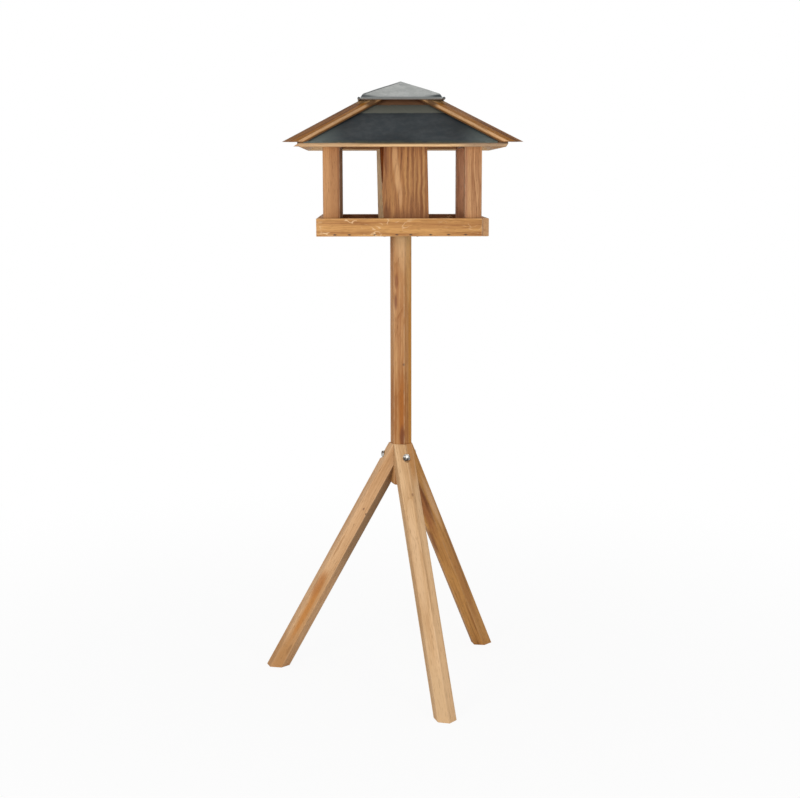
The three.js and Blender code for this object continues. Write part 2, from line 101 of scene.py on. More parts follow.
# %% Camera
CAMERA_LEFT = 0.0675
CAMERA_AWAY = 3.1431
CAMERA_HEIGHT = 1.1373
CAMERA_HEADING = math.radians(1.19)
CAMERA_TIP = math.radians(8.92)
CAMERA_ROLL = math.radians(-0.08)
CAMERA_LENS = 63.61

forward = Vector((
    math.sin(CAMERA_HEADING) * math.cos(CAMERA_TIP),
    math.cos(CAMERA_HEADING) * math.cos(CAMERA_TIP),
    -math.sin(CAMERA_TIP),
))
level_right = Vector((math.cos(CAMERA_HEADING), -math.sin(CAMERA_HEADING), 0))
level_up = level_right.cross(forward)
right = level_right * math.cos(CAMERA_ROLL) + level_up * math.sin(CAMERA_ROLL)
upward = level_up * math.cos(CAMERA_ROLL) - level_right * math.sin(CAMERA_ROLL)

lens = bpy.data.cameras.new("camera")
lens.lens = CAMERA_LENS
camera = bpy.data.objects.new("camera", lens)
bpy.context.scene.collection.objects.link(camera)
facing = Matrix((right, upward, -forward)).transposed().to_4x4()
camera_place = MIDDLE + Vector((-CAMERA_LEFT, -CAMERA_AWAY, CAMERA_HEIGHT))
camera.matrix_world = Matrix.Translation(camera_place) @ facing
bpy.context.scene.camera = camera
print("camera", [round(v, 3) for v in camera_place])

# %% [markdown]
# ## A small workshop for finishes
# Every finish here is a web of nodes. Typing each node out in full would bury the idea of the finish, so
# one helper adds a node, feeds its sockets and hands back the output, and a few more name what we need
# most often. Plain values that are the same all over a surface go straight onto the shader's own sockets.


# %% Colours
def tone(red, green, blue):
    """A colour written as 0 to 255, turned into the linear colour that Blender mixes in."""
    def linear(value):
        share = value / 255
        return share / 12.92 if share <= 0.04045 else ((share + 0.055) / 1.055) ** 2.4
    return (linear(red), linear(green), linear(blue), 1)


# %% A web of nodes
class Web:
    """A web of nodes. Each method adds one node, or a few, and gives back the last one's output."""

    def __init__(self, tree):
        self.tree = tree

    def feed(self, socket, value):
        if isinstance(value, bpy.types.NodeSocket):
            self.tree.links.new(value, socket)
        else:
            socket.default_value = value

    def node(self, kind, sockets, output=0, **settings):
        made = self.tree.nodes.new(kind)
        for key, value in settings.items():
            setattr(made, key, value)
        for key, value in sockets.items():
            self.feed(made.inputs[key], value)
        return made.outputs[output]

    def place(self):
        """Where a point lies on the piece, in the piece's own metres."""
        return self.node("ShaderNodeTexCoord", {}, "Object")

    def attribute(self, name):
        return self.node("ShaderNodeAttribute", {}, "Fac", attribute_name=name)

    def shift(self, vector, location=(0, 0, 0), rotation=(0, 0, 0), scale=(1, 1, 1), kind="POINT"):
        sockets = {"Vector": vector, "Location": location, "Rotation": rotation, "Scale": scale}
        return self.node("ShaderNodeMapping", sockets, vector_type=kind)

    def math(self, operation, *values):
        return self.node("ShaderNodeMath", dict(enumerate(values)), operation=operation)

    def times(self, first, second):
        return self.math("MULTIPLY", first, second)

    def total(self, first, *others):
        for value in others:
            first = self.math("ADD", first, value)
        return first

    def vector(self, operation, *values, output=0):
        return self.node("ShaderNodeVectorMath", dict(enumerate(values)), output, operation=operation)

    def length(self, vector):
        return self.vector("LENGTH", vector, output="Value")

    def split(self, vector):
        """The vector's three parts, each an output of its own."""
        return self.node("ShaderNodeSeparateXYZ", {0: vector}).node.outputs

    def noise(self, vector, scale=(1, 1, 1), at=(0, 0, 0), detail=3.0, roughness=0.5, output=0):
        """Scale says how fast the noise changes in each direction; at picks another part of it."""
        sockets = {"Vector": self.shift(vector, at, scale=scale), "Scale": 1.0, "Detail": detail,
                   "Roughness": roughness}
        return self.node("ShaderNodeTexNoise", sockets, output)

    def between(self, value, low, high, start=0.0, end=1.0):
        """A soft step: start below low, end above high."""
        sockets = {"Value": value, "From Min": low, "From Max": high, "To Min": start, "To Max": end}
        return self.node("ShaderNodeMapRange", sockets, interpolation_type="SMOOTHSTEP")

    def mix(self, share, first, second, blend="MIX"):
        """A Mix node's colours go into sockets 6 and 7, and their mixture comes out of socket 2."""
        sockets = {0: share, 6: first, 7: second}
        return self.node("ShaderNodeMix", sockets, 2, data_type="RGBA", blend_type=blend)


# %% Finish helper
class Finish(Web):
    """The web of nodes of one new material."""

    def __init__(self, name):
        self.material = bpy.data.materials.new(name)
        self.material.use_nodes = True
        super().__init__(self.material.node_tree)
        self.shader = self.tree.nodes["Principled BSDF"]

    def bump(self, height, strength, distance):
        sockets = {"Height": height, "Strength": strength, "Distance": distance}
        self.feed(self.shader.inputs["Normal"], self.node("ShaderNodeBump", sockets))

    def set(self, **sockets):
        for key, value in sockets.items():
            self.feed(self.shader.inputs[key.replace("_", " ")], value)
        return self.material


print("mid grey, as Blender mixes it:", round(tone(128, 128, 128)[0], 3))

# %% [markdown]
# ## Oak
# Oak is a bundle of yearly rings round the middle of the tree. A board is a slice out of that bundle, so
# one solid pattern, rings round a slanting line some way off the board, gives straight lines on one face,
# arches on another and curved lines on the sawn ends, and they meet at the edges as they do in wood.
# Stretched noise makes the dark open pores, thin contour lines of a second noise make the pale flecks of
# quarter-sawn oak, and soft patches lay in heartwood, knots and stains where one board shows them, and
# painted light and shade where a board needs it. A face turned one way can also be painted lighter or
# darker as a whole. Worn edges turn paler. All lengths inside a finish are in metres on the board itself,
# measured along the grain, across it and through its thickness.

# %% How a board lies
class Bench:
    """How a board lies: a point on it, the way its grain runs and the way its broad face looks."""

    def __init__(self, origin, grain, face):
        self.origin = Vector(origin)
        self.grain = Vector(grain).normalized()
        self.across = Vector(face).cross(self.grain).normalized()
        self.face = self.grain.cross(self.across)
        turned = Matrix((self.grain, self.across, self.face)).transposed()
        self.turn = tuple(turned.to_euler())


# %% Patches and worn edges
PATCH_CORE = 0.35
WORN_FULL = 0.0003
WORN_END = 0.0026
ARRIS_FROM = 0.945


def lay_patches(wood, board, colour, patches):
    """Each patch is (middle, half sizes, colour, strength). It is full up to its core, then fades."""
    for middle, halves, patch_colour, strength in patches:
        away = wood.length(wood.shift(board, middle, scale=halves, kind="TEXTURE"))
        colour = wood.mix(wood.between(away, PATCH_CORE, 1.0, strength, 0.0), colour, patch_colour)
    return colour


def worn_edge(wood, board, halves):
    """1 on the edges of a board of these half sizes, falling to 0 a few millimetres in."""
    x, y, z = wood.split(wood.vector("SUBTRACT", halves, wood.vector("ABSOLUTE", board)))
    first, second, third = (wood.math("MAXIMUM", *pair) for pair in ((x, y), (y, z), (x, z)))
    nearest = wood.math("MINIMUM", wood.math("MINIMUM", first, second), third)
    return wood.between(nearest, WORN_FULL, WORN_END, 1.0, 0.0)


def worn_arris(wood, board, radius):
    """1 on the six long edges of the stock, which lie at this radius, and 0 on its flats."""
    away = wood.length(wood.vector("MULTIPLY", board, (0, 1, 1)))
    return wood.between(away, radius * ARRIS_FROM, radius)


# %% Rings, flecks and painted side shading
# These say how fast each noise changes along, across and through a board, in waves per metre.
BEND_SCALE = (4, 16, 16)
DRIFT_SCALE = (5, 24, 24)
STREAK_SCALE = (8, 260, 260)
FINE_SCALE = (26, 700, 700)
PORE_SCALE = (62, 950, 950)
FLECK_SCALE = (50, 90, 90)
FLECK_GROUP_SCALE = (30, 42, 42)
WAVER_SCALE = (26, 40, 40)
RUB_SCALE = (35, 120, 120)
YEAR_CHANGE = 0.32
YEAR_FADE = 3.0
FLECK_TONE = (0.95, 0.76, 0.5, 1)
FLECK_SPAN = (-0.07, 0.06)
FACING_SPAN = (0.8, 0.93)


def swayed(wood, board, scale, at, amount):
    """The board's places, pushed about a little by a slow noise."""
    push = wood.noise(board, scale, at, detail=2, output="Color")
    push = wood.vector("SUBTRACT", push, (0.5, 0.5, 0.5))
    return wood.vector("ADD", board, wood.vector("MULTIPLY", push, amount))


def year_rings(wood, board, seed, ring, pith, lean, warp):
    """The dark, open line at the start of each year, and how dark the whole year is."""
    bent = swayed(wood, board, BEND_SCALE, (seed, seed * 0.7, 0), (0, warp * 2, warp * 2))
    trunk = wood.shift(bent, (0, *pith), (0, *lean))
    away = wood.length(wood.vector("MULTIPLY", trunk, (0, 1, 1)))
    year = wood.math("FRACT", wood.math("DIVIDE", away, ring))
    early = wood.math("POWER", wood.math("SUBTRACT", 1.0, year), YEAR_FADE)
    # This noise changes only from ring to ring, so whole years differ.
    sockets = {0: wood.times(away, YEAR_CHANGE / ring), 1: seed * 3.1, 2: seed}
    years = wood.noise(wood.node("ShaderNodeCombineXYZ", sockets), detail=2.5)
    return early, wood.between(years, 0.4, 0.62)


def lay_flecks(wood, board, colour, pale, seed, amount):
    """Thin contour lines of a noise, in loose groups, fewer towards one end of the board."""
    wiggle = wood.noise(board, FLECK_SCALE, (seed, 0, seed), detail=1.5)
    line = wood.between(wood.math("ABSOLUTE", wood.math("SUBTRACT", wiggle, 0.5)), 0.012, 0.046, 1.0, 0.0)
    group = wood.between(wood.noise(board, FLECK_GROUP_SCALE, (3, seed, 0), detail=1), 0.5, 0.62)
    fewer = wood.between(wood.split(board)[0], *FLECK_SPAN, amount, amount * 0.4)
    fleck = wood.times(wood.times(line, group), fewer)
    return wood.mix(fleck, colour, wood.mix(0.4, pale, FLECK_TONE))


def paint_side_shading(wood, board, normal, colour, side_shading, side_span):
    """Painted light and shade on one face: the way it looks, its colour and how much of it."""
    looks, side_colour, amount = side_shading
    there = wood.vector("DOT_PRODUCT", normal, tuple(looks), output="Value")
    painted = wood.between(there, *FACING_SPAN, 0.0, amount)
    if side_span:
        painted = wood.times(painted, wood.between(wood.split(board)[0], *side_span, 0.15, 1.0))
    return wood.mix(painted, colour, side_colour)


# %% Oak finish
EARLY_DEPTH = 0.28
PORE_TINT = (0.42, 0.36, 0.3, 1)
END_TONE = (0.2, 0.1, 0.06, 1)
WORN_TONE = (0.8, 0.64, 0.46, 1)


def oak(name, bench, pale, deep, seed, ring=0.0042, pith=(0.045, 0.03), lean=(0.02, 0.03), bold=0.55,
        flecks=0.0, patches=(), halves=None, radius=None, warp=0.012, lines=1.0, rub=0.5, sheen=0.35,
        side_shading=None, side_span=None, waver=0.0):
    """Oak for one board; the seed picks the tree, pale and deep are its lightest and darkest wood."""
    wood = Finish(name)
    board = wood.shift(wood.place(), bench.origin, bench.turn, kind="TEXTURE")
    early, band = year_rings(wood, board, seed, ring, pith, lean, warp)
    drift = wood.noise(board, DRIFT_SCALE, (seed * 2, seed, 3))
    streak = wood.noise(board, STREAK_SCALE, (seed, 4, seed), detail=2.5, roughness=0.6)
    fine = wood.noise(board, FINE_SCALE, (seed, 7, seed), roughness=0.6)
    depth = wood.total(wood.times(band, bold), wood.times(early, EARLY_DEPTH),
                       wood.between(drift, 0.35, 0.7, -0.22, 0.3),
                       wood.between(streak, 0.36, 0.64, -0.2 * lines, 0.26 * lines),
                       wood.between(fine, 0.3, 0.7, -0.16, 0.16))
    colour = wood.mix(wood.math("MINIMUM", wood.math("MAXIMUM", depth, 0.0), 1.0), pale, deep)
    # Lines laid in as patches can waver a little across the grain.
    laid = swayed(wood, board, WAVER_SCALE, (seed, 2, 2), (0, waver * 2, 0)) if waver else board
    colour = lay_patches(wood, laid, colour, patches)
    # Pores: short dark dashes along the grain, thickest where a year begins.
    dashes = wood.between(wood.noise(board, PORE_SCALE, (seed, 1, 1), detail=1), 0.58, 0.68)
    pore = wood.times(dashes, wood.total(0.35, wood.times(early, 0.65)))
    colour = wood.mix(wood.times(pore, 0.6), colour, wood.mix(1.0, deep, PORE_TINT, "MULTIPLY"))
    if flecks:
        colour = lay_flecks(wood, board, colour, pale, seed, flecks)
    normal = wood.node("ShaderNodeTexCoord", {}, "Normal")
    # One face can carry painted light and shade.
    if side_shading:
        colour = paint_side_shading(wood, board, normal, colour, side_shading, side_span)
    # Sawn ends drink the oil and turn darker.
    endwise = wood.math("ABSOLUTE", wood.vector("DOT_PRODUCT", normal, tuple(bench.grain), output="Value"))
    colour = wood.mix(wood.between(endwise, 0.45, 0.95, 0.0, 0.35), colour, wood.mix(0.6, deep, END_TONE))
    if halves or radius:
        worn = worn_edge(wood, board, halves) if halves else worn_arris(wood, board, radius)
        patchy = wood.noise(board, RUB_SCALE, (seed, 5, 5), detail=2)
        worn = wood.times(worn, wood.between(patchy, 0.35, 0.65, rub * 0.16, rub))
        colour = wood.mix(worn, colour, wood.mix(0.35, pale, WORN_TONE))
    hollows = wood.total(pore, wood.times(early, 0.4))
    wood.bump(wood.math("SUBTRACT", wood.times(fine, 0.5), hollows), 0.5, 0.0004)
    gloss = wood.total(wood.between(drift, 0.3, 0.7, 0.5, 0.62), wood.times(pore, 0.2))
    return wood.set(Base_Color=colour, Roughness=gloss, Specular_IOR_Level=sheen)


print("oak finish ready")

# %% [markdown]
# ## Softening a sawn piece
# The frame's wooden pieces have the right cuts and notches but knife-sharp edges, and a real planed edge
# is broken with a pass of sandpaper. We copy the frame's shape, join its loose triangles back into
# whole faces and round every edge that turns more than a little. Working on a copy keeps the frame as
# it is; the copy then stands in for the node.

# %% Softened pieces
WELD_DISTANCE = 0.00002
FLAT_TURN = math.radians(1)
SHARP_TURN = math.radians(28)
GENTLE_TURN = math.radians(30)
SOFTENED_TURN = math.radians(50)


def finish_piece(piece, slot, *nodes):
    """Rides the piece on the table and hides the nodes it stands for; slot is not used."""
    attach(piece, "root")
    if nodes:
        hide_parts(*nodes)
    return piece


def piece_from(name, work, material, shade=GENTLE_TURN):
    """Makes an object of finished mesh work, smooth over gentle turns and crisp over sharp ones."""
    bmesh.ops.recalc_face_normals(work, faces=work.faces)
    for edge in work.edges:
        edge.smooth = edge.calc_face_angle(math.pi) < shade
    for face in work.faces:
        face.smooth = True
    mesh = bpy.data.meshes.new(name)
    work.to_mesh(mesh)
    work.free()
    mesh.materials.append(material)
    piece = bpy.data.objects.new(name, mesh)
    bpy.context.scene.collection.objects.link(piece)
    return piece


def softened(node, arris, material, slot, segments=2):
    """A copy of a node with its edges rounded by this much."""
    work = bmesh.new()
    work.from_mesh(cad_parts[node].data)
    bmesh.ops.remove_doubles(work, verts=work.verts, dist=WELD_DISTANCE)
    bmesh.ops.dissolve_limit(work, angle_limit=FLAT_TURN, verts=work.verts, edges=work.edges)
    sharp = [edge for edge in work.edges if edge.calc_face_angle(0) > SHARP_TURN]
    bmesh.ops.bevel(work, geom=sharp, offset=arris, segments=segments, profile=0.5, affect="EDGES",
                    clamp_overlap=True, harden_normals=False)
    return finish_piece(piece_from(node + "_soft", work, material, SOFTENED_TURN), slot, node)


# %% [markdown]
# ## Mast and legs
# The mast and the legs are planed from six-sided stock, 42 mm across the flats. The mast stands upright;
# each leg leans against it, notched over one of the mast's edges. The front leg is cut from pale sapwood,
# the back leg from darker heart, and the mast turns red-brown towards its foot, so each gets its own oak.
# A leg's grain follows its lean: we find that line from the middle of its foot to the mast.

# %% Mast
# A sixth of a turn, which is the angle between two flats of the stock.
SIXTH = math.pi / 3
STOCK_FLATS = 0.042
STOCK_RADIUS = STOCK_FLATS / math.sqrt(3)
STAND_ARRIS = 0.0011
STAND_SEGMENTS = 3
LEG_TURNS = {"front": math.radians(17), "left": math.radians(-103), "back": math.radians(137)}


def outwards_of(leg):
    """The level direction in which a leg spreads from the mast."""
    return Vector((math.sin(LEG_TURNS[leg]), -math.cos(LEG_TURNS[leg]), 0))


mast_bench = Bench(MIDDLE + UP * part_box("mast")[0].z, UP, outwards_of("front"))
# Painted shade on the right side, red heartwood and a knot low down, two drying marks,
# and a paler, drier head.
mast_patches = (
    ((0.25, -0.0180, 0.014), (0.50, 0.0095, 0.012), tone(192, 130, 42), 0.75),
    ((0.165, 0.0045, 0.021), (0.11, 0.0110, 0.011), tone(160, 92, 20), 0.95),
    ((0.112, 0.0040, 0.021), (0.035, 0.0075, 0.011), tone(106, 52, 18), 0.8),
    ((0.415, 0.0165, 0.0125), (0.028, 0.0045, 0.008), tone(126, 72, 34), 0.85),
    ((0.275, 0.001, 0.0235), (0.0045, 0.004, 0.007), tone(98, 58, 32), 0.85),
    ((0.46, 0.0155, 0.0153), (0.024, 0.005, 0.008), tone(138, 84, 46), 0.75),
    ((0.57, 0.0, 0.02), (0.11, 0.03, 0.04), tone(222, 180, 130), 0.6),
    ((0.505, -0.012, 0.018), (0.15, 0.010, 0.012), tone(216, 168, 104), 0.6),
)
mast_oak = oak("mast_oak_planed", mast_bench, tone(196, 146, 92), tone(158, 100, 46), 1.3,
               pith=(0.03, 0.035), lean=(0.012, -0.02), patches=mast_patches, radius=STOCK_RADIUS)
softened("mast", STAND_ARRIS, mast_oak, "mast_oak", STAND_SEGMENTS)
print("mast softened by", STAND_ARRIS * 1000, "mm")

# %% Leg tones
# For each leg: its pale and its deep wood, how bold its years are, and its patches. A patch lies so far up
# from the foot, so far across and so far out from the middle of the stock.
LEG_TONES = {
    "front": (tone(218, 178, 132), tone(180, 134, 84), 0.5, (
        ((0.590, -0.0125, 0.0165), (0.100, 0.0150, 0.022), tone(190, 132, 70), 0.9),
        ((0.53, -0.004, 0.021), (0.05, 0.006, 0.02), tone(198, 144, 86), 0.35),
        ((0.490, 0.0005, 0.022), (0.006, 0.003, 0.006), tone(120, 78, 44), 0.7),
        ((0.335, 0.0125, 0.018), (0.16, 0.0130, 0.02), tone(219, 180, 136), 0.85),
        ((0.13, 0.0180, 0.014), (0.15, 0.0080, 0.02), tone(214, 176, 130), 0.5),
        ((0.22, -0.0120, 0.018), (0.34, 0.0130, 0.012), tone(230, 188, 140), 0.85),
        ((0.02, 0.0105, 0.018), (0.13, 0.0200, 0.02), tone(204, 166, 120), 0.8),
        # Painted shade along the front leg's left edge.
        ((0.25, 0.0235, -0.0040), (0.80, 0.0035, 0.010), tone(142, 114, 76), 0.7),
    )),
    "left": (tone(212, 168, 122), tone(184, 136, 88), 0.4, (
        ((0.120, -0.0215, -0.0040), (0.19, 0.0085, 0.0190), tone(192, 142, 90), 0.75),
        ((0.165, -0.0215, 0.0005), (0.12, 0.0075, 0.0085), tone(192, 126, 58), 0.85),
        ((0.232, -0.0215, 0.0060), (0.050, 0.0085, 0.0150), tone(176, 112, 54), 0.75),
        ((0.340, -0.0215, 0.0080), (0.050, 0.0060, 0.0028), tone(176, 130, 84), 0.8),
        ((0.055, -0.0215, -0.0070), (0.022, 0.0060, 0.0045), tone(142, 102, 64), 0.6),
        ((0.446, -0.0215, -0.0010), (0.005, 0.006, 0.0026), tone(116, 72, 40), 0.8),
        ((0.438, -0.0215, -0.0110), (0.004, 0.006, 0.0026), tone(96, 58, 32), 0.85),
        ((0.03, -0.008, 0.01), (0.09, 0.03, 0.04), tone(176, 124, 68), 0.65),
    )),
    "back": (tone(190, 136, 72), tone(138, 88, 36), 0.6, (
        ((0.450, 0.0120, -0.0175), (0.120, 0.0140, 0.0090), tone(150, 92, 48), 0.85),
        ((0.450, 0.0190, -0.0135), (0.100, 0.0055, 0.0070), tone(118, 66, 26), 0.9),
        ((0.345, 0.0000, -0.0235), (0.055, 0.0110, 0.0060), tone(130, 82, 46), 0.85),
        ((0.450, 0.0215, 0.0020), (0.100, 0.0060, 0.0100), tone(212, 166, 118), 0.8),
        ((0.190, 0.0215, -0.0030), (0.160, 0.0060, 0.0100), tone(166, 110, 54), 0.75),
        ((0.095, 0.0172, -0.0144), (0.080, 0.0032, 0.0040), tone(134, 82, 36), 0.7),
        ((0.270, 0.0225, 0.0070), (0.160, 0.0060, 0.0050), tone(118, 72, 34), 0.5),
        ((0.33, 0.018, -0.012), (0.14, 0.009, 0.012), tone(184, 130, 70), 0.5),
    )),
}
# Painted shade on the left leg's underside, strong above this stretch and faint below it.
UNDERSIDE_SHADE = tone(126, 96, 64)
UNDERSIDE_SPAN = (0.22, 0.36)
print("patches on the legs:", {leg: len(tones[3]) for leg, tones in LEG_TONES.items()})

# %% Legs
LEG_SPREAD = 0.297
LEG_MEET = 0.545
for index, leg in enumerate(LEG_TURNS):
    outwards = outwards_of(leg)
    bench = Bench(MIDDLE + outwards * LEG_SPREAD, UP * LEG_MEET - outwards * LEG_SPREAD, outwards)
    pale, deep, bold, patches = LEG_TONES[leg]
    underside = -(bench.across * math.cos(SIXTH) + bench.face * math.sin(SIXTH))
    leg_oak = oak(f"leg_oak_{leg}", bench, pale, deep, 2.1 + index * 1.7, bold=bold, patches=patches,
                  pith=(0.02 + 0.02 * index, 0.05), lean=(0.02, 0.015), radius=STOCK_RADIUS, rub=0.26,
                  side_shading=(underside, UNDERSIDE_SHADE, 0.75) if leg == "left" else None,
                  side_span=UNDERSIDE_SPAN)
    softened("leg_" + leg, STAND_ARRIS, leg_oak, "leg_oak", STAND_SEGMENTS)
print(len(LEG_TURNS), "legs softened by", STAND_ARRIS * 1000, "mm")

# %% [markdown]
# ## Turned pieces
# Bolt heads, washers, brads and nail heads are all round, so each could be a ready-made cylinder. A real
# one has a dome or an eased edge, though, so we draw half its outline, as a turner would, spin it into
# rings of points and skin the stack. The same skinning later closes the house panels.

# %% Rings and turned pieces
ROUND_STEPS = 48


def ringed(name, rings, material, closed=True):
    """Skins a stack of rings of points; closed ends get a cap each."""
    work = bmesh.new()
    rows = [[work.verts.new(point) for point in ring] for ring in rings]
    for lower, upper in zip(rows, rows[1:]):
        for i in range(len(lower)):
            j = (i + 1) % len(lower)
            work.faces.new((lower[i], lower[j], upper[j], upper[i]))
    if closed:
        work.faces.new(rows[0])
        work.faces.new(rows[-1])
    return piece_from(name, work, material)


def round_ring(reach_at, height):
    """One ring about Z, whose reach may change with the angle."""
    angles = [2 * math.pi * step / ROUND_STEPS for step in range(ROUND_STEPS)]
    return [(reach_at(a) * math.cos(a), reach_at(a) * math.sin(a), height) for a in angles]


def turned_piece(name, profile, material, closed=True):
    """A round piece from half its outline, given as pairs of radius and height."""
    rings = [round_ring(lambda a, r=radius: r, height) for radius, height in profile]
    return ringed(name, rings, material, closed)


def stand_on(piece, foot, direction, spin=0.0):
    """Turns a piece made about Z so that it stands on foot and points in a direction."""
    turn = Vector(direction).to_track_quat("Z", "Y").to_matrix().to_4x4()
    piece.matrix_world = Matrix.Translation(foot) @ turn @ Matrix.Rotation(spin, 4, "Z")
    return piece


print("rings have", ROUND_STEPS, "points")

# %% [markdown]
# ## Bolts and washers
# One bright bolt holds each leg. Its head is a hexagon whose top corners were turned off on a lathe, so
# from above it runs from six flats into a low dome. We get that by asking, at each height and for each
# angle, which lies nearer the middle: the hexagon's flat or the lathe's round. The washer is a plain
# turned ring with its edges eased. Both sit in the flat that is sunk into the leg. Their steel could be
# one even metal, but that looks like plastic, so fine scuffs and wider smears break up its shine.

# %% Bright steel
steel = Finish("bright_steel")
scuffs = steel.noise(steel.place(), (900, 900, 900))
smears = steel.noise(steel.place(), (130, 130, 130), detail=2)
steel_tone = steel.mix(steel.between(smears, 0.4, 0.62), tone(92, 88, 84), tone(216, 214, 208))
steel.bump(scuffs, 0.15, 0.0001)
BRIGHT_STEEL = steel.set(Base_Color=steel_tone, Metallic=1.0,
                         Roughness=steel.between(scuffs, 0.3, 0.7, 0.16, 0.34))
print("bright steel:", len(steel.tree.nodes), "nodes")

# %% Bolts and washers
BOLT_FLATS = 0.013
BOLT_HEAD = 0.0044
BOLT_DOME = 0.0014
BOLT_GAP = 0.00025
BOLT_SPIN = 0.35
WASHER_THICK = 0.0016
WASHER_ACROSS = 0.016
WASHER_EASE = 0.0003
BOLT_HOLE = 0.0085
# Up the side of the head: a height, and how much of the hexagon's corners is left there.
BOLT_STEPS = ((0, 0.955), (0.0004, 0.985), (0.0008, 1.0), (BOLT_HEAD - 0.0009, 1.0),
              (BOLT_HEAD - 0.0004, 0.955))
# How wide the head's top and the foot of its dome are, as shares of the hexagon.
BOLT_CROWN = 0.96
DOME_FOOT = 0.94
# The heights of the dome's rings, as shares of its rise.
DOME_SHARES = (0.3, 0.55, 0.76, 0.92)


def hexagon_reach(angle):
    """How far the bolt's hexagon is from its middle in this direction."""
    return BOLT_FLATS / 2 / math.cos((angle % SIXTH) - SIXTH / 2)


def bolt_head(name):
    corner = BOLT_FLATS / math.sqrt(3)
    rings = [round_ring(lambda a, k=kept: min(hexagon_reach(a), corner * k), height)
             for height, kept in BOLT_STEPS]
    rings.append(round_ring(lambda a: BOLT_FLATS / 2 * BOLT_CROWN, BOLT_HEAD))
    for share in DOME_SHARES:
        radius = BOLT_FLATS / 2 * DOME_FOOT * math.sqrt(1 - share ** 2)
        rings.append(round_ring(lambda a, r=radius: r, BOLT_HEAD + BOLT_DOME * share))
    return ringed(name, rings, BRIGHT_STEEL)


def washer(name):
    inner, outer, ease, top = BOLT_HOLE / 2, WASHER_ACROSS / 2, WASHER_EASE, WASHER_THICK
    profile = ((inner, 0), (outer - ease, 0), (outer, ease), (outer, top - ease),
               (outer - ease, top), (inner + ease, top), (inner, top - ease), (inner, 0))
    return turned_piece(name, profile, BRIGHT_STEEL, closed=False)


for leg in LEG_TURNS:
    outwards = outwards_of(leg)
    seat = middle_of("leg_washer_" + leg) - outwards * WASHER_THICK / 2
    ring = stand_on(washer("washer_" + leg), seat, outwards)
    finish_piece(ring, "fixing_steel", "leg_washer_" + leg)
    top = seat + outwards * (WASHER_THICK + BOLT_GAP)
    head = stand_on(bolt_head("bolt_" + leg), top, outwards, BOLT_SPIN)
    finish_piece(head, "fixing_steel", "leg_bolt_" + leg)
print("bolts on", ", ".join(LEG_TURNS))

# %% [markdown]
# ## Steel under the tray
# A square plate joins the mast to the floor boards, with one stout screw down into the mast and four
# small ones up into the boards. From the front the rim hides them, but they show from below, so they get
# a duller, zinc-coated finish, clouded by small crystals and blotches, and softened edges.

# %% Plate and screws
PLATE_ARRIS = 0.0006
SCREW_ARRIS = 0.0003
zinc = Finish("dull_zinc_plating")
crystals = zinc.noise(zinc.place(), (260, 260, 260), detail=2)
blotch = zinc.noise(zinc.place(), (45, 45, 45))
plating = zinc.mix(crystals, tone(138, 141, 143), tone(178, 181, 182))
plating = zinc.mix(zinc.between(blotch, 0.45, 0.7, 0.0, 0.4), plating, tone(120, 120, 116))
zinc.bump(crystals, 0.2, 0.0001)
DULL_ZINC = zinc.set(Base_Color=plating, Metallic=0.9, Roughness=zinc.between(blotch, 0.3, 0.7, 0.38, 0.55))
softened("mast_plate", PLATE_ARRIS, DULL_ZINC, "fixing_steel")
screws = ["mast_screw"] + [f"floor_screw_{index}" for index in range(1, 5)]
for node in screws:
    softened(node, SCREW_ARRIS, DULL_ZINC, "fixing_steel")
print("plate and", len(screws), "screws")

# %% [markdown]
# ## Tray
# Four rim boards stand round four floor boards, each rim board covering the end of its neighbour. The
# front board is quarter-sawn: fine straight lines with pale flecks scattered over them. Two brads go
# through the front and back rims into each floor board. Iron stains oak blue-black, so each brad sits in
# a small dark smear that follows the grain; the smear belongs to the board's finish and the brad is its
# own small piece.

# %% Tray rim
RIM_ARRIS = 0.0008
rim_size = size_of("tray_rim_front")
RIM_HALVES = (rim_size.x / 2, rim_size.z / 2, rim_size.y / 2)
BRAD_HEIGHT = 1.0187
BRAD_PLACES = (-0.1415, -0.111, -0.058, -0.012, 0.017, 0.0585, 0.096, 0.1315)
# The smear round a brad: its half sizes, colour and strength.
STAIN = ((0.0052, 0.0022, 0.006), tone(84, 50, 30), 0.85)
# Painted shade: inside, the boards are painted dark.
INSIDE_SHADE = ((0, 0, -RIM_HALVES[2] - 0.002), (0.5, 0.05, 0.007), tone(104, 58, 34), 0.75)
# For each side: pale wood, deep wood, how bold its years are and how strong its flecks.
RIM_TONES = {
    "front": (tone(204, 150, 86), tone(146, 90, 42), 0.4, 0.9),
    "right": (tone(200, 154, 104), tone(156, 104, 58), 0.5, 0.3),
    "back": (tone(204, 152, 96), tone(152, 98, 54), 0.5, 0.6),
    "left": (tone(200, 150, 96), tone(152, 100, 54), 0.5, 0.3),
}
for index, (side, (along, out)) in enumerate(SIDES.items()):
    node = "tray_rim_" + side
    middle = middle_of(node)
    bench = Bench(middle, along, out)
    pale, deep, bold, flecks = RIM_TONES[side]
    stains = []
    if side in ("front", "back"):
        across = (BRAD_HEIGHT - middle.z) * bench.across.z
        shift_u = (MIDDLE - middle).dot(along)
        stains = [((u + shift_u, across, RIM_HALVES[2]), *STAIN) for u in BRAD_PLACES]
    rim_oak = oak(f"rim_oak_{side}", bench, pale, deep, 4.2 + index * 1.3, ring=0.003, pith=(0.11, 0.012),
                  lean=(0.012, 0.02), bold=bold, flecks=flecks, patches=(*stains, INSIDE_SHADE),
                  halves=RIM_HALVES, warp=0.006)
    softened(node, RIM_ARRIS, rim_oak, "tray_oak")
print("rim boards", [round(v * 2000) for v in RIM_HALVES], "mm")

